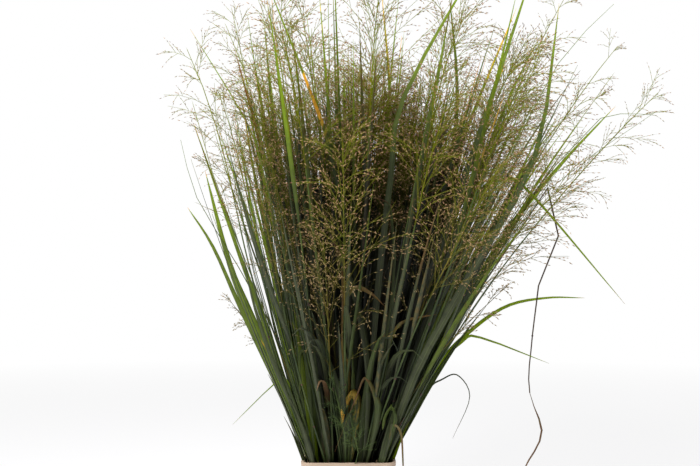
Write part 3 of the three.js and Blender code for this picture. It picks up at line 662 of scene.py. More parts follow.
def grown_blade(draw, kind, root, side, upwards, tried):
    """A blade that stands away to a side, by a small slope, from the way that its tuft or culm grows."""
    spread = draw(*kind.spread)
    away = at(math.cos(side) * spread, math.sin(side) * spread, 0)
    direction = within_lean(upwards + away, LEAF_LEAN)
    bend = (side_bend(direction) + draw(*kind.bend)) * DEGREES
    length = draw(*kind.length) * (1 - EACH_TRY.blade * tried)
    line = arch_line(root, direction, bend, draw(*kind.late), length)
    facing = draw(-kind.turned, kind.turned)
    turn = [facing, facing + draw(-kind.twist, kind.twist)]
    width = draw(*kind.width)
    return new_blade(line, width, turn, rings=blade_rings(line, width, turn, BLADE.rings))


def culm_blade(tuft, culm, c, j, tried):
    """A leaf of a culm. They stand on one side of it and on the other, turn and turn about."""
    draw = draws_for(STREAM.culm_blade, tuft.owner, c, j, tried)
    k = CULM.leaves[j]
    side = culm.leaf_side + j * math.pi + draw(-0.5, 0.5) + tried * EACH_TRY.culm_blade_turn
    stem = tangent_at(culm.line, k)
    return grown_blade(draw, CULM_BLADE, middle_at(culm.rings, k / FINE), side, stem / stem[2], tried)


def basal_blade(tuft, j, tried):
    draw = draws_for(STREAM.basal_blade, tuft.owner, j, tried)
    side = j * 2 * math.pi / BASAL_BLADE.per_tuft + draw(-0.4, 0.4) + tried * EACH_TRY.basal_blade_turn
    root = sprout_of(tuft, side, SPROUT.blade)
    return grown_blade(draw, BASAL_BLADE, root, side, fan_direction(root), tried)


def rachis_from(root, direction, draw):
    """The stem of a panicle, from its root."""
    length = draw(*RACHIS.length)
    line = arch_line(root, direction, draw(*RACHIS.bend) * DEGREES, RACHIS.late, length)
    foot, tip = RACHIS.foot, RACHIS.tip
    rings = stem_rings(line, [foot, (2 * foot + tip) / 3, (foot + 2 * tip) / 3, tip])
    return SimpleNamespace(line=line, rings=rings)


def plan_panicles(tufts):
    """A panicle stands on the tip of each culm."""
    panicles = []
    for culm in (culm for tuft in tufts for culm in tuft.culms):
        owner = len(tufts) + len(panicles)
        direction = tangent_at(culm.line, FINE)
        root = culm.line.points[FINE] + direction * GAP
        rachis = rachis_from(root, direction, draws_for(STREAM.rachis, owner))
        take_room(rachis.rings, owner)
        panicles.append(SimpleNamespace(number=owner, rachis=rachis, branches=[]))
    return panicles


def panicle_branch(rachis, number, i, count, tried):
    """Branches leave the rachis all round, the lower ones longer."""
    draw = draws_for(STREAM.branch, number, i, tried)
    k = step_of(i, count, BRANCH.first, BRANCH.last)
    u = k / FINE
    turn = i * GOLDEN_TURN + tried * EACH_TRY.branch_turn
    direction = opening_from(rachis.line, k, draw(*BRANCH.opened), turn)
    bend = draw(*BRANCH.bend) * DEGREES
    length = draw(*BRANCH.length) * (1 - BRANCH.shorter_up * u) * (1 - EACH_TRY.branch * tried)
    line = arch_line(middle_at(rachis.rings, u), direction, bend, BRANCH.late, length)
    return SimpleNamespace(line=line, rings=branch_rings(line))


def plan_branches(panicle, owner, count):
    for i in range(count):
        add_where_clear(
            panicle.branches,
            owner,
            lambda tried: panicle_branch(panicle.rachis, panicle.number, i, count, tried),
        )


def plan_clump():
    """The clump as the solid model has it, in the same order, so that every draw falls the same way."""
    tufts = plan_tufts()
    take_rim_room()
    for tuft in tufts:
        for i in range(tuft.culm_count):
            add_where_clear(tuft.culms, tuft.owner, lambda tried: grown_culm(tuft, i, tried))
    plan_shaped_blades(tufts)
    panicles = plan_panicles(tufts)
    for tuft in tufts:
        for i in range(INNER.per_tuft[tuft.column]):
            add_where_clear(tuft.inner_culms, tuft.owner, lambda tried: inner_culm(tuft, i, tried))
    for tuft in tufts:
        for c, culm in enumerate(tuft.culms):
            for j in range(len(CULM.leaves)):
                add_where_clear(tuft.blades, tuft.owner, lambda tried: culm_blade(tuft, culm, c, j, tried))
        for j in range(BASAL_BLADE.per_tuft):
            add_where_clear(tuft.blades, tuft.owner, lambda tried: basal_blade(tuft, j, tried))
    for panicle in panicles:
        plan_branches(panicle, panicle.number, BRANCH.per_panicle)
    number = len(tufts) + len(panicles)
    for tuft in tufts:
        for culm in tuft.inner_culms:
            culm.number = number
            plan_branches(culm, tuft.owner, INNER.branches)
            number += 1
    return tufts, panicles


# ---------------------------------------------------------------- what only the dressed clump has
def added_blade(draw, kind, root, direction, bend, length, look=None):
    """A blade that mostly faces the front, whichever way it leans."""
    line = arch_line(root, direction, bend * DEGREES, draw(*ADDED.late), length)
    facing = math.pi / 2 * abs(math.cos(line.azimuth)) + draw(-kind.turned, kind.turned)
    turn = [facing, facing + draw(-ADDED.twist, ADDED.twist)]
    return new_blade(line, draw(*kind.width), turn, look=look, rows=kind.rows)


def plan_middle_blades(tuft):
    kind = MIDDLE_BLADES
    may_bend = tuft.row < 2 and 0 < tuft.column < CLUMP.columns - 1
    for j in range(round(kind.per_tuft[tuft.column] * kind.more[tuft.row])):
        draw = draws_for(STREAM.middle_blade, tuft.owner, j)
        root = sprout_of(tuft, j * GOLDEN_TURN + draw(-0.3, 0.3), draw(2, 9))
        root[1] += kind.set_back[tuft.row]
        upright = at(kind.upright.left if root[0] < 0 else kind.upright.right, kind.upright.depthways, 1)
        upwards = fan_direction(root) * upright + strayed(draw, kind.stray[tuft.row], kind.stray_depthways)
        direction = within_lean(upwards, LEAF_LEAN)
        length = draw(*kind.lengths[tuft.row])
        bends = may_bend and draw(0, 1) < kind.bent
        if bends:
            direction[:2] = (kind.bent_sideways * direction[0], kind.bent_forwards)
        bend = side_bend(direction) + draw(*(kind.bent_bend if bends else kind.bend))
        blade = added_blade(draw, kind, root, direction, bend, length)
        blade.width *= kind.broad[tuft.column]
        tuft.added_blades.append(blade)
    for place, *shape in MORE_SHAPED_BLADES:
        if tuft_at(tuft, place):
            tuft.added_blades.append(shaped_blade(tuft, *shape))


def scattered(tuft, draw, kind):
    """Where a leaf sprouts, anywhere in its tuft, and the way that it starts."""
    root = sprout_of(tuft, draw(0, 2 * math.pi), draw(2, 8))
    return root, within_lean(fan_direction(root) * kind.upright + strayed(draw, *kind.stray), LEAF_LEAN)


def within_reach(tip):
    return bool(np.all(tip > BRANCHES.nearest) and np.all(tip < BRANCHES.farthest))


def plan_tall_blades(tuft):
    """Narrow blades that reach up among the panicles."""
    kind = TALL_BLADES
    for j in range(kind.per_tuft[tuft.column] if tuft.row else min(kind.front, tuft.column)):
        draw = draws_for(STREAM.tall, tuft.owner, j)
        root, direction = scattered(tuft, draw, kind)
        length = draw(*kind.length) * (1 - kind.leaning_shorter * abs(direction[0]))
        blade = added_blade(draw, kind, root, direction, side_bend(direction) + draw(*kind.bend), length)
        tone, dry_from, dryness = draw(0.05, 0.5), draw(0.6, 0.95), draw(0.1, 0.7)
        blade.look = leaf_look(tone, dry_from, dryness, draw(0, 1), lit_from=kind.lit_from)
        if within_reach(blade.line.points[FINE]):
            tuft.added_blades.append(blade)


def plan_skirt_blades(tuft):
    """Blades that lean out over the rim, round the sides and the back."""
    kind = SKIRT_BLADES
    sideways = {0: -1, CLUMP.columns - 1: 1}.get(tuft.column, 0)
    depthways = {0: -0.6, CLUMP.rows - 1: 0.6 if sideways else 1}.get(tuft.row, 0)
    if not sideways and depthways <= 0:
        return
    for j in range(kind.per_tuft[tuft.column]):
        draw = draws_for(STREAM.skirt_blade, tuft.owner, j)
        side = math.atan2(depthways, sideways) + draw(-1.2, 1.2)
        root = sprout_of(tuft, side, draw(8, kind.spread))
        root[:2] = np.clip(root[:2], -kind.farthest, kind.farthest)
        clearing = (kind.farthest + 6 - np.abs(root[:2])) / (POT.height - root[2])
        slope = np.minimum(clearing, draw(*kind.slope)) * at(sideways or draw(-0.5, 0.5), depthways)
        bend = draw(*kind.bend)
        length = draw(*kind.length) * kind.shorter[tuft.column]
        tuft.added_blades.append(added_blade(draw, kind, root, at(*slope, 1), bend, length))


def plan_rolled_leaves(tuft):
    """Young leaves, still rolled up, as thin as a stalk."""
    kind = ROLLED_LEAVES
    for j in range(kind.per_tuft[tuft.column] // (1 if tuft.row else 3)):
        draw = draws_for(STREAM.rolled, tuft.owner, j)
        root, direction = scattered(tuft, draw, kind)
        length = draw(*kind.length)
        bend = (side_bend(direction) + draw(*kind.bend)) * DEGREES
        tuft.rolled_leaves.append(arch_line(root, direction, bend, draw(*kind.late), length))
    for place, points in LONE_LEAVES:
        if tuft_at(tuft, place):
            tuft.rolled_leaves.append(drawn_from(tuft, 0, SPROUT.lone_leaf, points))


def lone_panicles(tuft):
    lone = []
    for number, (place, points) in enumerate(LONE_PANICLES, LONE_PANICLE_NUMBER):
        if tuft_at(tuft, place):
            rachis = SimpleNamespace(line=drawn_from(tuft, 0, SPROUT.lone_panicle, points))
            lone.append(SimpleNamespace(number=number, rachis=rachis, branches=[]))
    return lone


def more_branches(panicle, denser=1):
    """Branches between those of the plan: more and longer ones where the clump is dense."""
    line = panicle.rachis.line
    middle = line.points[FINE // 2][0]
    count = np.interp(middle, BRANCHES.where, BRANCHES.count)
    reach = np.interp(middle, BRANCHES.where, BRANCHES.reach)
    first = BRANCHES.first
    if line.points[0][2] < BRANCHES.low.under:
        count, reach = max(count, BRANCHES.low.count), max(reach, BRANCHES.low.reach)
    count = round(denser * count)
    if panicle.number >= LONE_PANICLE_NUMBER:
        count, reach, first = BRANCHES.lone.count, BRANCHES.lone.reach, BRANCHES.lone.first
    branches = []
    for i in range(count):
        draw = draws_for(STREAM.more_branches, panicle.number, i)
        k = step_of(i, count, first, BRANCHES.last)
        direction = opening_from(line, k, draw(*BRANCHES.opened), i * GOLDEN_TURN + draw(-0.4, 0.4))
        length = draw(*BRANCHES.length) * reach * (1 - BRANCHES.shorter_up * k / FINE)
        branch = arch_line(line.points[k], direction, draw(*BRANCHES.bend) * DEGREES, BRANCH.late, length)
        if within_reach(branch.points[FINE]):
            branches.append(branch)
    return branches


# ---------------------------------------------------------------- node trees
def add_node(tree, kind, inputs=(), **settings):
    """Adds a shader node. An input is a number, a colour, a vector, or another node's output."""
    node = tree.nodes.new(kind)
    for name, value in settings.items():
        setattr(node, name, value)
    for name, value in dict(inputs).items():
        if isinstance(value, bpy.types.NodeSocket):
            tree.links.new(value, node.inputs[name])
        else:
            node.inputs[name].default_value = value
    return node


def maths(tree, operation, *values, clamp=False):
    inputs = dict(enumerate(values))
    return add_node(tree, "ShaderNodeMath", inputs, operation=operation, use_clamp=clamp).outputs[0]


def opaque(colour):
    """A colour with its alpha, or another node's output as it is."""
    return (*colour, 1) if isinstance(colour, tuple) else colour


MIX_FACTOR, MIX_A, MIX_B, MIX_RESULT = 0, 6, 7, 2  # a Mix node's sockets for colours


def mixed(tree, factor, a, b, blend="MIX"):
    inputs = {MIX_FACTOR: factor, MIX_A: opaque(a), MIX_B: opaque(b)}
    node = add_node(tree, "ShaderNodeMix", inputs, data_type="RGBA", blend_type=blend)
    return node.outputs[MIX_RESULT]


def tinted(tree, colour, tint):
    return mixed(tree, 1.0, colour, tint, blend="MULTIPLY")


def ramp(tree, factor, stops):
    """A colour ramp: each stop is a place and a colour."""
    node = add_node(tree, "ShaderNodeValToRGB", {"Fac": factor})
    elements = node.color_ramp.elements
    while len(elements) < len(stops):
        elements.new(1)
    for element, (place, colour) in zip(elements, stops):
        element.position = place
        element.color = (*colour, 1)
    return node.outputs["Color"]


def noise(tree, where, scale, detail=2, stretch=None):
    """Noise on the piece's own coordinates, in features for each metre."""
    if stretch:
        where = add_node(tree, "ShaderNodeMapping", {"Vector": where, "Scale": stretch}).outputs[0]
    inputs = {"Vector": where, "Scale": scale, "Detail": detail, "Roughness": 0.6}
    return add_node(tree, "ShaderNodeTexNoise", inputs).outputs["Fac"]


def made_uneven(tree, value, by, amount, clamp=False):
    """A value that noise takes up and down by half an amount."""
    return maths(tree, "ADD", value, maths(tree, "MULTIPLY_ADD", by, amount, -amount / 2), clamp=clamp)


def attribute(tree, name):
    return add_node(tree, "ShaderNodeAttribute", attribute_name=name).outputs["Fac"]


def place_on_piece(tree):
    return add_node(tree, "ShaderNodeTexCoord").outputs["Object"]


def coordinates(tree, where):
    parts = add_node(tree, "ShaderNodeSeparateXYZ", {"Vector": where})
    return (parts.outputs[axis] for axis in "XYZ")


def share_between(tree, value, none, full, lowest=0.0, highest=1.0):
    """How far a value has come from one to another, and what that gives between two others."""
    inputs = {"Value": value, "From Min": none, "From Max": full, "To Min": lowest, "To Max": highest}
    return add_node(tree, "ShaderNodeMapRange", inputs).outputs[0]


def height_share(tree, where, none, full):
    """How far the height has come from one to another, in metres."""
    _, _, height = coordinates(tree, where)
    return share_between(tree, height, none, full)


def painted_heart_shade(tree, where, darkest):
    """A grey of painted shade: dark in the clump's heart, which hardly any light reaches, and white round it.
    """
    x, y, z = coordinates(tree, where)
    sideways = maths(tree, "ABSOLUTE", maths(tree, "MULTIPLY_ADD", z, -HEART.drift, x))
    near_side = maths(tree, "DIVIDE", sideways, maths(tree, "MULTIPLY_ADD", z, *HEART.half_width))
    half_depth = maths(tree, "MULTIPLY_ADD", z, *HEART.half_depth)
    near_front = maths(tree, "DIVIDE", maths(tree, "ABSOLUTE", y), half_depth)
    out = maths(tree, "MAXIMUM", near_side, near_front)
    lit = share_between(tree, out, HEART.dark_to, HEART.lit_from)
    lit = maths(tree, "MAXIMUM", lit, height_share(tree, where, *HEART.opens))
    return mixed(tree, lit, (darkest,) * 3, (1, 1, 1))


def painted_shade_inside(tree, where, colour, darkest):
    return tinted(tree, colour, painted_heart_shade(tree, where, darkest))


def new_material(name):
    material = bpy.data.materials.new(name)
    material.use_nodes = True
    material.node_tree.nodes.clear()
    return material, material.node_tree, place_on_piece(material.node_tree)


def finish_with(tree, shader):
    add_node(tree, "ShaderNodeOutputMaterial", {"Surface": shader})


def bumped(tree, height, strength, distance):
    inputs = {"Height": height, "Strength": strength, "Distance": distance}
    return add_node(tree, "ShaderNodeBump", inputs).outputs[0]


def skin(tree, colour, roughness, normal, shine=0.5):
    inputs = {"Base Color": colour, "Roughness": roughness, "Normal": normal, "Specular IOR Level": shine}
    return add_node(tree, "ShaderNodeBsdfPrincipled", inputs).outputs[0]


def mixed_shaders(tree, share, a, b):
    return add_node(tree, "ShaderNodeMixShader", {"Fac": share, 1: a, 2: b}).outputs[0]


def thin_and_lit_through(tree, colour, share, normal, roughness, through):
    """A surface that also lets light through, as a blade or a glume does."""
    inputs = {"Color": tinted(tree, colour, through), "Normal": normal}
    lit_through = add_node(tree, "ShaderNodeBsdfTranslucent", inputs).outputs[0]
    return mixed_shaders(tree, share, skin(tree, colour, roughness, normal, THIN_SHINE), lit_through)


# ---------------------------------------------------------------- finishes
# IN_SHADE is a painted shade: the colour that the lowest tones give to blades deep in the clump.
IN_SHADE = (0.009, 0.011, 0.007)
GLAUCOUS = (0.056, 0.060, 0.032)
MID_GREEN = (0.075, 0.105, 0.024)
BRIGHT_GREEN = (0.21, 0.265, 0.035)
GOLD = (0.82, 0.56, 0.08)
OLIVE = (0.16, 0.13, 0.03)
RUST = (0.15, 0.075, 0.03)
STRAW = (0.30, 0.20, 0.11)
THIN_SHINE = 0.35  # of blades, culms and glumes
GREENS = ((0, IN_SHADE), (0.24, GLAUCOUS), (0.6, MID_GREEN), (1, BRIGHT_GREEN))
BROWNS = ((0.3, OLIVE), (0.62, RUST), (1, STRAW))
GOLDS = ((0.35, GOLD), (0.85, RUST))
THROUGH_LEAF = (2.8, 2.7, 1.3)  # how much brighter the light that comes through is than the colour
THROUGH_GLUME = (1.6, 1.5, 1.3)
ALOFT = (0.45, 0.8)  # the heights in metres between which stems take their colour from high up
VEINS = SimpleNamespace(waves=42, least=0.1, share=0.09, colour=(0.17, 0.25, 0.09))
MIDRIB = SimpleNamespace(narrow=9, share=0.35, colour=(0.24, 0.30, 0.13))
DRYING = SimpleNamespace(uneven=0.7, shows_from=0.28, sharp=5)
UNRIPE = SimpleNamespace(above=0.6, below=0.4, share=0.7, colour=(0.38, 0.29, 0.14))  # the heights in metres
RIPE = (  # from the darkest spikelets to the palest, and then the green ones
    (0.28, (0.04, 0.019, 0.008)), (0.41, (0.18, 0.083, 0.026)), (0.51, (0.58, 0.345, 0.19)),
    (0.62, (0.18, 0.155, 0.014)),
)
SPECKLE = SimpleNamespace(over=0.68, share=0.35, colour=(0.35, 0.25, 0.18))

# The clump's heart, whose finishes get a painted shade: how far its middle drifts to the right with height,
# half its width and depth as a slope and a size at no height, the shares of those between which the painted
# shade lifts, and the heights in metres between which it opens up.
HEART = SimpleNamespace(
    drift=0.08, half_width=(0.36, 0.045), half_depth=(0.34, 0.042), dark_to=0.45, lit_from=0.82,
    opens=(0.6, 0.82),
)


def leaf_finish():
    """Green blades with fine veins and a pale midrib, mottled, and drying to gold, rust and straw."""
    material, tree, where = new_material("switchgrass leaf")
    across, tone = attribute(tree, "across"), attribute(tree, "tone")
    blotches = noise(tree, where, scale=55, detail=3)
    # The tone carries painted light and painted shade as well as each blade's own tone; its lowest values
    # give IN_SHADE, a painted shade.
    green = ramp(tree, made_uneven(tree, tone, blotches, amount=0.5), GREENS)
    veins = maths(tree, "SINE", maths(tree, "MULTIPLY", across, VEINS.waves))
    veined = mixed(tree, maths(tree, "MULTIPLY_ADD", veins, VEINS.share, VEINS.least), green, VEINS.colour)
    off_midrib = maths(tree, "MULTIPLY", maths(tree, "ABSOLUTE", across), MIDRIB.narrow)
    midrib = maths(tree, "SUBTRACT", 1, off_midrib, clamp=True)
    ribbed = mixed(tree, maths(tree, "MULTIPLY", midrib, MIDRIB.share), veined, MIDRIB.colour)
    streaks = noise(tree, where, scale=40, detail=3, stretch=(6, 6, 1))
    drying = made_uneven(tree, attribute(tree, "dry"), streaks, DRYING.uneven, clamp=True)
    dried = mixed(tree, attribute(tree, "gold"), ramp(tree, drying, BROWNS), ramp(tree, drying, GOLDS))
    started = maths(tree, "SUBTRACT", drying, DRYING.shows_from)
    edge = maths(tree, "MULTIPLY", started, DRYING.sharp, clamp=True)
    # Painted shade: the blade's colour is darkened in the clump's heart.
    colour = painted_shade_inside(tree, where, mixed(tree, edge, ribbed, dried), darkest=0.18)
    height = maths(tree, "ADD", veins, maths(tree, "MULTIPLY", blotches, 2))
    normal = bumped(tree, height, strength=0.35, distance=0.00012)
    roughness = maths(tree, "MULTIPLY_ADD", blotches, 0.25, 0.36)
    share = maths(tree, "MULTIPLY_ADD", tone, 0.6, 0.06, clamp=True)
    finish_with(tree, thin_and_lit_through(tree, colour, share, normal, roughness, THROUGH_LEAF))
    return material


def culm_finish(name, low, high, aloft=None, shine=THIN_SHINE):
    """Smooth stems, mottled along their length, and perhaps of another colour high up, with a painted shade
    in the clump's heart.
    """
    material, tree, where = new_material(name)
    mottle = noise(tree, where, scale=60, detail=3, stretch=(1, 1, 0.3))
    colour = ramp(tree, mottle, ((0.35, low), (0.7, high)))
    if aloft:
        colour = mixed(tree, height_share(tree, where, *ALOFT), colour, aloft)
        # Painted shade: the stem's colour is darkened in the clump's heart.
        colour = painted_shade_inside(tree, where, colour, darkest=0.25)
    grooves = noise(tree, where, scale=900, detail=1, stretch=(1, 1, 0.08))
    normal = bumped(tree, grooves, strength=0.3, distance=0.0002)
    finish_with(tree, skin(tree, colour, 0.5, normal, shine))
    return material


def spikelet_finish():
    """Papery glumes: each spikelet takes its colour from where it hangs, with a painted shade in the clump's
    heart.
    """
    material, tree, where = new_material("ripe glumes")
    ripe = ramp(tree, noise(tree, where, scale=140), RIPE)
    unripe = maths(tree, "MULTIPLY", height_share(tree, where, UNRIPE.above, UNRIPE.below), UNRIPE.share)
    # Painted shade: glumes in the clump's heart are darkened.
    colour = painted_shade_inside(tree, where, mixed(tree, unripe, ripe, UNRIPE.colour), darkest=0.42)
    grain = noise(tree, where, scale=1500, detail=1)
    normal = bumped(tree, grain, strength=0.3, distance=0.0001)
    finish_with(tree, thin_and_lit_through(tree, colour, 0.06, normal, 0.75, THROUGH_GLUME))
    return material


def pot_finish():
    """Matt, pale tan ceramic with a fine speckle and faint washes of colour."""
    material, tree, where = new_material("matt tan pot")
    wash = noise(tree, where, scale=18, detail=4)
    speckle = noise(tree, where, scale=900)
    base = ramp(tree, wash, ((0.3, (0.50, 0.37, 0.275)), (0.7, (0.60, 0.46, 0.345))))
    dots = maths(tree, "MULTIPLY", maths(tree, "GREATER_THAN", speckle, SPECKLE.over), SPECKLE.share)
    colour = mixed(tree, dots, base, SPECKLE.colour)
    height = maths(tree, "ADD", maths(tree, "MULTIPLY", wash, 2), speckle)
    roughness = maths(tree, "MULTIPLY_ADD", wash, 0.2, 0.5)
    normal = bumped(tree, height, strength=0.25, distance=0.0003)
    finish_with(tree, skin(tree, colour, roughness, normal))
    return material


def compost_finish():
    material, tree, where = new_material("dark compost")
    clods = noise(tree, where, scale=160, detail=5)
    browns = ((0.3, (0.012, 0.008, 0.005)), (0.55, (0.04, 0.025, 0.014)), (0.8, (0.11, 0.07, 0.04)))
    normal = bumped(tree, clods, strength=0.8, distance=0.002)
    finish_with(tree, skin(tree, ramp(tree, clods, browns), 0.92, normal))
    return material


# ---------------------------------------------------------------- pieces
def put_in_scene(name, data):
    placed = bpy.data.objects.new(name, data)
    bpy.context.collection.objects.link(placed)
    return placed


def new_piece(name, data, slot, *nodes):
    """Puts a finished piece in the scene, on the clump's one body."""
    piece = put_in_scene(name, data)
    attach(piece, "root")
    if nodes:
        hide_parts(*nodes)
    return piece


def plain_mesh(built, name):
    """Turns a bmesh into a mesh."""
    mesh = bpy.data.meshes.new(name)
    built.to_mesh(mesh)
    built.free()
    return mesh


def smoothed(mesh, sharp):
    """Shades a mesh smooth but for its sharp edges."""
    mesh.shade_smooth()
    mesh.set_sharp_from_angle(angle=sharp * DEGREES)
    return mesh


def mesh_of(built, name, material, sharp=35):
    mesh = plain_mesh(built, name)
    mesh.materials.append(material)
    return smoothed(mesh, sharp)


def as_modified(piece):
    """The mesh that a piece's modifiers give."""
    bpy.context.view_layer.update()
    return bpy.data.meshes.new_from_object(piece.evaluated_get(bpy.context.evaluated_depsgraph_get()))


def new_stems(name, materials, resolution):
    """A curve whose splines are round stems. A point's radius is in millimetres."""
    curve = bpy.data.curves.new(name, "CURVE")
    curve.dimensions = "3D"
    curve.bevel_depth = MM
    curve.bevel_resolution = resolution
    curve.use_fill_caps = True
    for material in materials:
        curve.materials.append(material)
    return curve


def add_stem(curve, points, radii, material=0):
    spline = curve.splines.new("POLY")
    spline.points.add(len(points) - 1)
    spline.points.foreach_set("co", np.column_stack([points * MM, np.ones(len(points))]).ravel())
    spline.points.foreach_set("radius", radii)
    spline.material_index = material


# ---------------------------------------------------------------- blades
def look_for(tuft, draw):
    """The look of a blade that has none of its own."""
    plain = PLAIN_LOOK
    lit = {}
    # Blades of the inner tufts get a low tone, a painted shade.
    if tuft.row in (1, 2) and 0 < tuft.column < CLUMP.columns - 1:
        tone = draw(*plain.inside.tone)
        lit = {"lit_from": plain.inside.lit_from}
    else:
        edge = min(1, abs(tuft.x) / plain.edge_at)
        painted_light_at_edge = plain.painted_light_at_right if tuft.column == CLUMP.columns - 1 else plain.painted_light_at_edge
        varies = plain.varies + plain.varies_at_edge * edge
        tone = plain.least + painted_light_at_edge * edge + varies * draw(0, 1) ** plain.mostly_low
    kind = draw(0, 1)
    if kind < plain.dying.under:
        return leaf_look(tone, draw(*plain.dying.dry_from), draw(*plain.dying.dryness), 0, **lit)
    if kind < plain.dull.under:
        return leaf_look(tone, plain.dull.dry_from, draw(*plain.dull.dryness), 0, **lit)
    drying = [draw(*plain.rest.dry_from), draw(*plain.rest.dryness), draw(*plain.rest.gold)]
    return leaf_look(tone, *drying, **lit)


def blade_places(blade, draw):
    """Where a blade's surface runs, row by row: channelled near its foot, flatter at its tip."""
    ripple, waves, phase = draw(*BLADE.ripple), draw(*BLADE.waves), draw(0, 6)
    width = blade.width * (BLADE.on_culm if blade.line.points[0][2] > SOIL_TOP else 1)
    places = np.empty((blade.rows + 1, BLADE.columns + 1, 3))
    m = np.linspace(-1, 1, BLADE.columns + 1)[:, None]
    for row in range(blade.rows + 1):
        u = row / blade.rows
        k = row * FINE // blade.rows
        across = across_at(blade.line, k, turned_at(blade.turn, u))
        inward = -np.cross(across, tangent_at(blade.line, k))
        half = max(width * blade_share(u, blade.taper), BLADE.thinnest) / 2
        channel = half * (BLADE.channel - BLADE.flatter * u) * (np.abs(m) - 0.5)
        wave = ripple * math.sin(2 * math.pi * waves * u + phase) * m * half / width * 2
        places[row] = blade.line.points[k] + across * m * half + inward * (channel + wave)
    return places


def between_0_and_1(value):
    return min(1, max(0, value))


def add_blade(built, layers, blade, look, draw):
    places = blade_places(blade, draw) * MM
    grid = bmesh.ops.create_grid(built, x_segments=BLADE.columns, y_segments=blade.rows, size=1)
    for vert in grid["verts"]:
        m, u = vert.co.x, (vert.co.y + 1) / 2
        vert.co = places[round(u * blade.rows), round((m + 1) / 2 * BLADE.columns)]
        vert[layers.across] = m
        # Painted light: the tone is raised above the height that the blade is lit from, and a little towards
        # its tip.
        aloft = between_0_and_1((vert.co.z - look.lit_from) / LIGHTENS.over)
        lighter = LIGHTENS.along * (u - LIGHTENS.none_at) + LIGHTENS.by * aloft
        vert[layers.tone] = min(LIGHTENS.most, look.tone + lighter)
        dried = between_0_and_1((u - look.dry_from) / (1 - look.dry_from)) if u <= look.dry_to else 0
        vert[layers.gold] = look.gold
        vert[layers.dry] = look.dryness * dried**DRIES_SOON


def new_blades():
    """An empty bmesh that keeps, at each vertex, what the leaf finish reads."""
    built = bmesh.new()
    new_layer = built.verts.layers.float.new
    names = ("across", "tone", "dry", "gold")
    return built, SimpleNamespace(**{name: new_layer(name) for name in names})


def leaf_piece(built, name, finish, nodes, slot, thickness):
    """A piece of leaf blades, which are given their thickness here."""
    piece = new_piece(name, mesh_of(built, name, finish, sharp=60), slot, *nodes)
    solidify = piece.modifiers.new("blade thickness", "SOLIDIFY")
    solidify.thickness = thickness * MM
    solidify.offset = 0
    return piece


def make_leaves(tuft, name, node, finish):
    built, layers = new_blades()
    for number, blade in enumerate(tuft.blades + tuft.added_blades):
        draw = draws_for(STREAM.look, tuft.owner, number)
        add_blade(built, layers, blade, blade.look or look_for(tuft, draw), draw)
    return leaf_piece(built, name, finish, [node], "leaf", BLADE.thickness)


# ---------------------------------------------------------------- culms
STEM, RING, STUMP = 0, 1, 2  # the numbers of a culm's finishes


def add_jointed_culm(curve, line):
    """A culm with a swollen ring where each leaf's sheath starts, and the sheath wrapped round it above."""
    radii = np.linspace(CULM.radius, CULM.tip, FINE + 1)
    for k in CULM.leaves:
        start = k - SHEATH.steps - 1
        radii[start + 1 : k + 1] += SHEATH.thickness
        ring = line.points[start] + np.outer(SHEATH.ring, line.points[k] - line.points[start])
        swollen = radii[start] + SHEATH.swelling
        add_stem(curve, ring, [radii[start], swollen, swollen, radii[start]], RING)
    add_stem(curve, line.points, radii, STEM)


def add_crown(curve, tuft):
    """A knobbly root crown, with the stumps of old culms round it."""
    heights, radii = zip(*CROWN.knobs)
    points = np.array([(tuft.x, tuft.y, SOIL_TOP + height) for height in heights])
    add_stem(curve, points, radii, STUMP)
    for i in range(STUMPS.per_tuft):
        draw = draws_for(STREAM.crumb, tuft.owner, i)
        foot = sprout_of(tuft, i * GOLDEN_TURN, draw(2, 8))
        lean = fan_direction(foot) + strayed(draw, 0.1, 0.1)
        steps = np.array(STUMPS.rings) * draw(*STUMPS.height)
        add_stem(curve, foot + np.outer(steps, lean), np.array(STUMPS.radii) * draw(0.7, 1), STUMP)


def make_culms(tuft, name, node, finishes):
    curve = new_stems(name, finishes, 1)
    for culm in tuft.culms + tuft.inner_culms:
        add_jointed_culm(curve, culm.line)
    for line in tuft.rolled_leaves:
        points = line.points[::3]
        add_stem(curve, points, np.linspace(ROLLED_LEAVES.foot, ROLLED_LEAVES.tip, len(points)))
    add_crown(curve, tuft)
    return new_piece(name, curve, "leaf", node)


# ---------------------------------------------------------------- panicles
STALK, GLUMES, GREEN = 0, 1, 2  # the numbers of a panicle's finishes


def spindle(sides, *rings):
    """A part of a panicle is a closed spindle. Each ring has shares of its length and its thickness."""
    shares, thick = zip(*rings)
    return SimpleNamespace(sides=sides, shares=shares, thick=thick)


STEM_PART = spindle(5, (0, 0), (0.002, 1), (0.25, 0.9), (0.5, 0.8), (0.75, 0.65), (0.98, 0.4), (1, 0))
BRANCH_PART = spindle(3, (0, 0), (0.01, 1), (0.33, 0.85), (0.66, 0.7), (0.98, 0.6), (1, 0))
SPRAY_PART = spindle(3, (0, 0), (0.04, 1), (0.55, 0.8), (1, 0))
SPIKELET_PART = spindle(4, (0, 0), (0.42, 1), (1, 0))


def add_spindle(built, part, finish, first):
    """Adds a closed spindle, and returns the number of each vertex's ring, and its angle on that."""
    levels = len(part.shares) - 1
    made = bmesh.ops.create_uvsphere(built, u_segments=part.sides, v_segments=levels, radius=1)["verts"]
    places = {}
    for vert in made:
        level = round(math.acos(min(1, max(-1, -vert.co.z))) / math.pi * levels)
        places[vert] = (first + level, math.atan2(vert.co.y, vert.co.x))
        for face in vert.link_faces:
            face.material_index = finish
            face.smooth = True
    return places


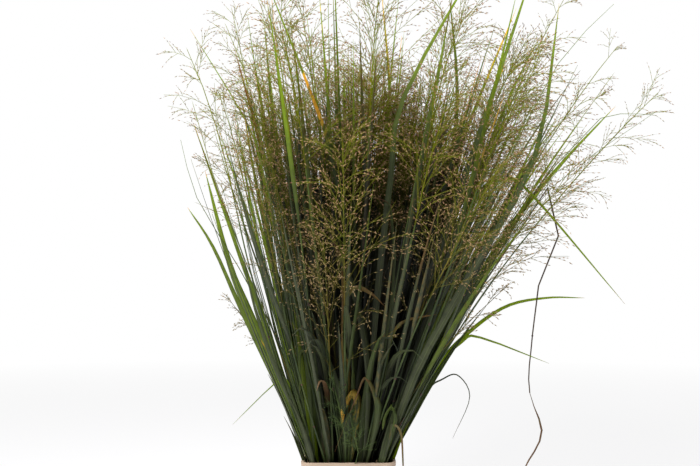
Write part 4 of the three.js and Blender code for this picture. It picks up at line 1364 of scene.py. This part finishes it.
def branch_kit(stalk, glumes):
    """A branch with its sprays and spikelets, to be laid along lines as often as is wanted."""
    built = bmesh.new()
    places, first = {}, 0
    kinds = [(BRANCH_PART, stalk)] + [(SPRAY_PART, stalk)] * SPRAYS.per_branch
    kinds += [(SPIKELET_PART, glumes)] * (SPRAYS.per_branch * SPIKELETS.per_spray)
    for part, part_finish in kinds:
        places.update(add_spindle(built, part, part_finish, first))
        first += len(part.shares)
    ring, angle = zip(*(places[vert] for vert in built.verts))
    mesh = plain_mesh(built, "branch kit")
    return SimpleNamespace(mesh=mesh, ring=np.array(ring), angle=np.array(angle)[:, None])


def along(lines, shares):
    """The points, and the unit tangents, at a share of the way along each of many lines."""
    last = lines.shape[1] - 1
    place = np.clip(shares, 0, 1) * last
    step = np.minimum(place.astype(int), last - 1)
    number = np.arange(len(lines)).reshape((-1,) + (1,) * (place.ndim - 1))
    before, after = lines[number, step], lines[number, step + 1]
    tangent = after - before
    point = before + tangent * (place - step)[..., None]
    return point, tangent / np.linalg.norm(tangent, axis=-1, keepdims=True)


def turned_about(tangents, turns):
    """Unit vectors across others, turned about them."""
    level = np.cross(at(0.02, 0.01, 1), tangents)
    level /= np.linalg.norm(level, axis=-1, keepdims=True)
    turns = np.asarray(turns)[..., None]
    return level * np.cos(turns) + np.cross(tangents, level) * np.sin(turns)


def arching(roots, directions, bends, lengths, steps=8):
    """Many arching lines at once."""
    azimuth = np.arctan2(directions[..., 1], directions[..., 0])
    share = (np.arange(steps) + 0.5) / steps
    angle = np.arccos(np.clip(directions[..., 2], -1, 1))[..., None] + bends[..., None] * share
    flat = np.sin(angle)
    ways = np.stack([flat * np.cos(azimuth)[..., None], flat * np.sin(azimuth)[..., None], np.cos(angle)], -1)
    run = np.cumsum(ways * (lengths / steps)[..., None, None], axis=-2)
    return roots[..., None, :] + np.concatenate([np.zeros_like(run[..., :1, :]), run], axis=-2)


def laid(part, lines, radius):
    """The middles and the sides of a part's rings, laid along each of many lines."""
    shares = np.tile(part.shares, (len(lines), 1))
    middles, tangents = along(lines, shares)
    sides = turned_about(tangents, np.zeros(shares.shape))
    reach = (np.array(part.thick) * np.reshape(radius, (-1, 1)))[..., None]
    return np.stack([middles, sides * reach, np.cross(tangents, sides) * reach], axis=2)


def twigs_along(lines, rng, size):
    """The lines of each branch's sprays."""
    full = np.linalg.norm(lines[:, -1] - lines[:, 0], axis=1)[:, None]
    step = np.arange(SPRAYS.per_branch)
    shares = rng.uniform(*SPRAYS.first, (len(lines), SPRAYS.per_branch))
    shares = shares + SPRAYS.run * step / (SPRAYS.per_branch - 1)
    roots, tangents = along(lines, shares)
    opened = rng.uniform(*SPRAYS.opened, shares.shape) * DEGREES
    turns = step * GOLDEN_TURN + rng.uniform(-SPRAYS.turned, SPRAYS.turned, shares.shape)
    across = turned_about(tangents, turns)
    ways = tangents * np.cos(opened)[..., None] + across * np.sin(opened)[..., None]
    lengths = rng.uniform(*SPRAYS.length, shares.shape) * size
    lengths = np.minimum(lengths, full * (1 - shares) + SPRAYS.past_tip)
    twigs = arching(roots, ways, rng.uniform(*SPRAYS.bend, shares.shape) * DEGREES, lengths)
    return twigs.reshape(shares.size, -1, 3)


def dressed_branches(lines, seed, size=1.0):
    """Each branch's rings, those of its sprays, and those of its spikelets."""
    rng = np.random.default_rng(seed)
    lines = np.array(lines)
    twigs = twigs_along(lines, rng, size)
    stray = rng.uniform(-SPIKELETS.stray, SPIKELETS.stray, (len(twigs), SPIKELETS.per_spray))
    feet, tangents = along(twigs, np.linspace(SPIKELETS.first, 1, SPIKELETS.per_spray) + stray)
    turns = rng.uniform(-SPIKELETS.turned, SPIKELETS.turned, stray.shape)
    across = turned_about(tangents, np.arange(SPIKELETS.per_spray) * math.pi + turns)
    ways = tangents + across * rng.uniform(*SPIKELETS.slope, (*stray.shape, 1))
    ways /= np.linalg.norm(ways, axis=-1, keepdims=True)
    grown = (rng.uniform(*SPIKELETS.grown, stray.shape) * size).ravel()
    feet, ways = feet.reshape(-1, 3), ways.reshape(-1, 3)
    grains = np.stack([feet, feet + ways * SPIKELETS.length * grown[:, None]], axis=1)
    rings = [
        laid(BRANCH_PART, lines, BRANCHES.foot * size),
        laid(SPRAY_PART, twigs, SPRAYS.foot),
        laid(SPIKELET_PART, grains, SPIKELETS.radius * grown),
    ]
    return np.concatenate([part.reshape(len(lines), -1, 3, 3) for part in rings], axis=1)


def copies_of(kit, rings):
    holder = put_in_scene("branches", kit.mesh)
    copies = holder.modifiers.new("copies", "ARRAY")
    copies.count = len(rings)
    copies.use_relative_offset = False
    mesh = as_modified(holder)
    bpy.data.objects.remove(holder)
    middle, side, rise = (rings[:, kit.ring, i] for i in range(3))
    points = middle + side * np.cos(kit.angle) + rise * np.sin(kit.angle)
    mesh.vertices.foreach_set("co", (points * MM).ravel())
    return mesh


def add_stem_part(built, points, radius, finish=STALK):
    """Adds the rachis of a panicle, or the stem of a young one."""
    rings = laid(STEM_PART, np.array([points]), radius)[0]
    for vert, (ring, angle) in add_spindle(built, STEM_PART, finish, 0).items():
        middle, side, rise = rings[ring]
        vert.co = (middle + side * math.cos(angle) + rise * math.sin(angle)) * MM


def make_sprays(panicles, name, node, kit, finishes, denser=1, young=()):
    """The panicles of a node: each rachis, the plan's branches, and more of them between those."""
    lines = [
        line.points
        for panicle in panicles
        for line in [branch.line for branch in panicle.branches] + more_branches(panicle, denser)
    ]
    built = bmesh.new()
    if lines:
        middle = panicles[0].rachis.line.points[FINE // 2][0]
        size = np.interp(middle, BRANCHES.where, BRANCHES.size)
        built.from_mesh(copies_of(kit.ripe, dressed_branches(lines, panicles[0].number, size)))
    for panicle in panicles:
        add_stem_part(built, panicle.rachis.line.points, RACHIS.foot)
    for line in young:
        add_stem_part(built, line.points, YOUNG.stem, GREEN)
        rings = dressed_branches(young_branches(line), 1, YOUNG.size)
        built.from_mesh(copies_of(kit.unripe, rings))
    mesh = plain_mesh(built, name)
    for finish in finishes:
        mesh.materials.append(finish)
    return new_piece(name, mesh, "panicle", node)


def young_branches(line):
    """The short branches of a small green panicle that is just coming out between the blades."""
    branches = []
    for i in range(YOUNG.branches):
        draw = draws_for(STREAM.young_branch, i)
        k = YOUNG.first + i
        direction = opening_from(line, k, draw(*YOUNG.opened), i * GOLDEN_TURN)
        branches.append(arch_line(line.points[k], direction, YOUNG.bend, 1, draw(*YOUNG.length)).points)
    return branches


# ---------------------------------------------------------------- the dead culm
def on_polyline(points, places):
    """The points at places along straight lengths, where the corners are at whole numbers."""
    return np.column_stack([np.interp(places, range(len(points)), points[:, i]) for i in range(3)])


def kinked(controls):
    """A drawn line that is snapped at its first points, and only then smooth."""
    line = drawn_line(controls)
    place = np.linspace(0, len(controls) - 1, FINE + 1)
    snapped = on_polyline(controls, place)
    line.points = snapped + (line.points - snapped) * np.clip(place - 2.5, 0, 1)[:, None]
    for i in (1, 2):
        line.points[round(i * FINE / place[-1])] = controls[i]
    return line


def make_dry_culm(finishes, leaf):
    """The culm rises, kinks and hangs down, and the lower half of that is a dry, twisted leaf."""
    rising = drawn_line([(*DRY_CULM.foot, SOIL_TOP - DRY_CULM.depth), *DRY_CULM.rising])
    hanging = kinked(np.array([rising.points[FINE], *DRY_CULM.hanging]))
    curve = new_stems("dry_culm_stem", finishes, 1)
    radius, half, joints = DRY_CULM.stem_radius, FINE // 2, DRY_CULM.joints
    add_stem(curve, rising.points, np.linspace(radius + 0.15, radius - 0.3, FINE + 1))
    add_stem(curve, hanging.points[: half + 3], np.linspace(radius + 0.2, 1.1, half + 3))
    for joint in [rising.points[k] for k in joints.rising] + [hanging.points[k] for k in joints.hanging]:
        knuckle = joint + np.outer(joints.heights, at(0, 0, 1))
        add_stem(curve, knuckle, [0.6, joints.radius, joints.radius, 0.6], RING)
    stem = new_piece("dry_culm_stem", curve, "dry_culm", "dry_culm")
    built, layers = new_blades()
    points = on_polyline(hanging.points, np.linspace(half, FINE, FINE + 1))
    line = SimpleNamespace(points=points, azimuth=hanging.azimuth)
    blade = new_blade(line, DRY_CULM.leaf_width, [0, DRY_CULM.twist], rows=2 * BLADE.rows)
    add_blade(built, layers, blade, DRY_CULM.look, draws_for(STREAM.look, DRY_LEAF_NUMBER))
    return stem, leaf_piece(built, "dry_culm_leaf", leaf, [], "dry_culm", DRY_CULM.leaf_thickness)


# ---------------------------------------------------------------- pot and compost
ARC_STEPS = 15  # between the vertices of each rounded corner


def outline_half(z):
    """Half the pot's width at a height."""
    return (POT.foot + (POT.width - POT.foot) * z / POT.height) / 2


def on_outline(number, half, corner, z):
    """The place of a vertex on a square with round corners, which are numbered round it."""
    quarter, step = divmod(number, ARC_STEPS + 1)
    angle = (quarter + step / ARC_STEPS) * math.pi / 2
    x, y = ((1, 1), (-1, 1), (-1, -1), (1, -1))[quarter]
    flat = half - corner
    return at(x * flat + corner * math.cos(angle), y * flat + corner * math.sin(angle), z) * MM


def pot_profile():
    """The insets and heights that the pot's wall passes: foot, outside, rounded rim, inside and floor."""
    rim = []
    for angle in np.linspace(0, math.pi, 9):
        inset = POT.wall / 2 * (1 - math.cos(angle))
        inset -= POT.band if inset < 1 else 0
        rim.append((inset, POT.height - POT.lip * (1 - math.sin(angle))))
    outside = [(2.2, 0), (0.7, 0.6), (0, 2.2), (0, 40), (0, 90), (0, POT.band_from - 2)]
    band = [(-POT.band, POT.band_from), (-POT.band, POT.height - 3)]
    inside = [(POT.wall, 120), (POT.wall, 60), (POT.wall, POT.floor + 4), (POT.wall + 4, POT.floor)]
    return outside + band + rim + inside


def drilled(piece):
    """Cuts the drain holes through the pot's floor."""
    built = bmesh.new()
    radius, spread = DRAIN.radius * MM, DRAIN.spread * MM
    for x, y in ((-1, -1), (-1, 1), (1, -1), (1, 1)):
        hole = bmesh.ops.create_cone(
            built, cap_ends=True, segments=DRAIN.sides,
            radius1=radius, radius2=radius, depth=4 * POT.floor * MM,
        )
        bmesh.ops.translate(built, verts=hole["verts"], vec=(x * spread, y * spread, 0))
    cutters = plain_mesh(built, "drain cutters")
    drills = put_in_scene("drain cutters", cutters)
    cut = piece.modifiers.new("drain holes", "BOOLEAN")
    cut.object = drills
    cut.operation = "DIFFERENCE"
    cut.solver = "EXACT"
    finished = as_modified(piece)
    piece.modifiers.remove(cut)
    piece.data = finished
    bpy.data.objects.remove(drills)
    bpy.data.meshes.remove(cutters)
    return piece


def new_items(made, kind):
    return [item for item in made["geom"] if isinstance(item, kind)]


def open_edges(edges):
    return [edge for edge in edges if edge.is_boundary]


def follow(ring, grown):
    """The new ring's vertices in the order of the last one's, found along the edges that join them."""
    new = set(new_items(grown, bmesh.types.BMVert))
    after = []
    for vert in ring:
        ends = [edge.other_vert(vert) for edge in vert.link_edges]
        after.append(next(end for end in ends if end in new))
    return after


def make_pot(finish):
    """A square, tapering pot whose wall is drawn out ring by ring, from its foot round to its floor."""
    built = bmesh.new()
    ring = bmesh.ops.create_circle(built, cap_ends=True, segments=4 * (ARC_STEPS + 1), radius=1)["verts"]
    edges = list(built.edges)
    for level, (inset, z) in enumerate(pot_profile()):
        if level:
            grown = bmesh.ops.extrude_edge_only(built, edges=edges)
            edges = open_edges(new_items(grown, bmesh.types.BMEdge))
            ring = follow(ring, grown)
        half = outline_half(z) - inset
        corner = max(POT.corner * half / outline_half(POT.height) - inset * 0.6, POT.least_corner)
        for number, vert in enumerate(ring):
            vert.co = on_outline(number, half, corner, z)
    bmesh.ops.contextual_create(built, geom=edges)
    bmesh.ops.recalc_face_normals(built, faces=built.faces)
    piece = drilled(new_piece("tan_pot", mesh_of(built, "tan_pot", finish, sharp=40), "pot", "pot"))
    smoothed(piece.data, 40)
    return piece


def soil_surface(built, half):
    """A bumpy surface, as square as the pot is inside."""
    bmesh.ops.create_grid(built, x_segments=COMPOST.cells, y_segments=COMPOST.cells, size=1)
    draw = draws_for(STREAM.crumb, 0)
    for vert in built.verts:
        x, y = vert.co.x, vert.co.y
        squeeze = max(abs(x), abs(y), 0.001) / max((x**8 + y**8) ** 0.125, 0.001)  # round corners
        swell = COMPOST.swell * math.sin(x * 9 + y * 4) * math.cos(y * 11 - x * 3)
        bump = swell + draw(-COMPOST.uneven, COMPOST.uneven)
        vert.co = at(x * half * squeeze, y * half * squeeze, SOIL_TOP - 0.5 + bump) * MM


def make_compost(finish):
    """A bumpy surface with crumbs on it, down to the pot's floor."""
    built = bmesh.new()
    half = outline_half(SOIL_TOP) - POT.wall - GAP
    soil_surface(built, half)
    reached = half
    for z, inset in ((SOIL_TOP - 8, 0), (POT.floor + 12, 0), (POT.floor + GAP, 4.5)):
        grown = bmesh.ops.extrude_edge_only(built, edges=open_edges(built.edges))
        lower = outline_half(z) - POT.wall - GAP - inset
        for vert in new_items(grown, bmesh.types.BMVert):
            vert.co = (vert.co.x * lower / reached, vert.co.y * lower / reached, z * MM)
        reached = lower
    bmesh.ops.contextual_create(built, geom=open_edges(built.edges))
    bmesh.ops.recalc_face_normals(built, faces=built.faces)
    far = COMPOST.farthest
    for number in range(COMPOST.crumbs):
        draw = draws_for(STREAM.crumb, number + 1)
        crumb = bmesh.ops.create_icosphere(built, subdivisions=1, radius=draw(*COMPOST.crumb) * MM)["verts"]
        place = at(draw(-far, far) * half, draw(-far, far) * half, SOIL_TOP + draw(-0.3, 0.8)) * MM
        bmesh.ops.scale(built, verts=crumb, vec=(draw(0.7, 1.3), draw(0.7, 1.3), draw(0.5, 0.9)))
        bmesh.ops.translate(built, verts=crumb, vec=place)
    mesh = mesh_of(built, "crumbly_compost", finish, sharp=50)
    return new_piece("crumbly_compost", mesh, "compost", "compost")


# ---------------------------------------------------------------- camera, floor and light
EYE = SimpleNamespace(x=2.6, away=2400, height=539, view_width=1225)
BACKDROP = (1.0, 1.0, 1.0)
FLOOR = SimpleNamespace(  # in metres
    radius=8.0, colour=(0.86, 0.855, 0.87), fades=(0.4, 3.5), shares=(0.5, 1.0)
)
LIT_POINT = (0, 0, 500)  # that the softboxes face


def place_camera():
    """Level with the clump's middle, straight in front of it."""
    data = bpy.data.cameras.new("camera")
    data.angle = 2 * math.atan(EYE.view_width / 2 / EYE.away)
    camera = put_in_scene("camera", data)
    camera.location = at(EYE.x, -EYE.away, EYE.height) * MM
    camera.rotation_euler = (math.pi / 2, 0, 0)
    bpy.context.scene.camera = camera


def lay_floor():
    """A pale floor, which fades into the backdrop far from the pot."""
    built = bmesh.new()
    bmesh.ops.create_circle(built, cap_ends=True, segments=96, radius=FLOOR.radius)
    material, tree, where = new_material("pale floor")
    distance = add_node(tree, "ShaderNodeVectorMath", {0: where}, operation="LENGTH").outputs["Value"]
    far = share_between(tree, distance, *FLOOR.fades, *FLOOR.shares)
    matt = add_node(tree, "ShaderNodeBsdfDiffuse", {"Color": opaque(FLOOR.colour)}).outputs[0]
    glow = add_node(tree, "ShaderNodeEmission", {"Color": opaque(BACKDROP), "Strength": 1.0}).outputs[0]
    finish_with(tree, mixed_shaders(tree, far, matt, glow))
    put_in_scene("floor", mesh_of(built, "floor", material))


def light_the_studio():
    """A white surround that is brightest behind and above the clump, and dim in front of it."""
    world = bpy.data.worlds.new("white surround")
    bpy.context.scene.world = world
    world.use_nodes = True
    tree = world.node_tree
    tree.nodes.clear()
    _, depthways, upwards = coordinates(tree, add_node(tree, "ShaderNodeTexCoord").outputs["Generated"])
    behind = maths(tree, "MULTIPLY_ADD", depthways, 0.55, 0.42, clamp=True)
    above = maths(tree, "MULTIPLY", maths(tree, "MAXIMUM", upwards, 0), 0.35)
    lit = add_node(tree, "ShaderNodeBackground", {"Strength": maths(tree, "ADD", behind, above)})
    seen = add_node(tree, "ShaderNodeBackground", {"Color": opaque(BACKDROP), "Strength": 1.0})
    direct = add_node(tree, "ShaderNodeLightPath").outputs["Is Camera Ray"]
    shader = mixed_shaders(tree, direct, lit.outputs[0], seen.outputs[0])
    add_node(tree, "ShaderNodeOutputWorld", {"Surface": shader})
    soft_light("front softbox", (-1000, -1900, 1900), 62, 600)
    soft_light("top softbox", (300, 500, 2400), 30, 1600)


def soft_light(name, place, power, size):
    data = bpy.data.lights.new(name, "AREA")
    data.energy = power
    data.size = size * MM
    lamp = put_in_scene(name, data)
    lamp.location = at(*place) * MM
    x, y, z = (at(*LIT_POINT) - at(*place)) * MM
    lamp.rotation_euler = (math.atan2(math.hypot(x, y), -z), 0, math.atan2(y, x) - math.pi / 2)


# ---------------------------------------------------------------- the clump
def numbered(name, number):
    return f"{name}_{number + 1:02d}"


def plan_dressing(tuft):
    plan_middle_blades(tuft)
    plan_skirt_blades(tuft)
    plan_tall_blades(tuft)
    plan_rolled_leaves(tuft)


def make_clump():
    tufts, panicles = plan_clump()
    leaf = leaf_finish()
    culm = culm_finish("green culm", (0.025, 0.045, 0.014), (0.08, 0.11, 0.025), (0.16, 0.24, 0.025))
    ring = culm_finish("purple-brown node", (0.05, 0.025, 0.02), (0.10, 0.05, 0.035))
    stump = culm_finish("old stump", (0.07, 0.045, 0.025), (0.22, 0.15, 0.08))
    stalk = culm_finish("panicle branch", (0.06, 0.075, 0.012), (0.2, 0.15, 0.03), (0.21, 0.245, 0.004), 0.1)
    glumes = spikelet_finish()
    green = culm_finish("young panicle", (0.04, 0.07, 0.018), (0.12, 0.18, 0.04))
    dead = culm_finish("dead stem", (0.05, 0.03, 0.02), (0.13, 0.09, 0.055))
    kit = SimpleNamespace(ripe=branch_kit(STALK, GLUMES), unripe=branch_kit(GREEN, GREEN))
    for number, tuft in enumerate(tufts):
        plan_dressing(tuft)
        node = numbered("tuft", number)
        make_leaves(tuft, f"{node}_leaves", node, leaf)
        make_culms(tuft, f"{node}_culms", node, (culm, ring, stump))
        young = []
        if tuft_at(tuft, YOUNG.tuft):
            start = (tuft, YOUNG.towards, SPROUT.young_panicle)
            young = [drawn_from(*start, points) for points in YOUNG_PANICLES]
        flowering = tuft.inner_culms + lone_panicles(tuft)
        if tuft.inner_culms or young:
            finishes, denser = (stalk, glumes, green), BRANCHES.inner[tuft.row]
            make_sprays(flowering, f"{node}_sprays", node, kit, finishes, denser, young)
    for number, panicle in enumerate(panicles):
        node = numbered("panicle", number)
        make_sprays([panicle], f"{node}_sprays", node, kit, (stalk, glumes))
    make_dry_culm((dead, ring), leaf)


make_clump()
make_pot(pot_finish())
make_compost(compost_finish())
place_camera()
lay_floor()
light_the_studio()
bpy.context.scene.view_settings.view_transform = "Standard"
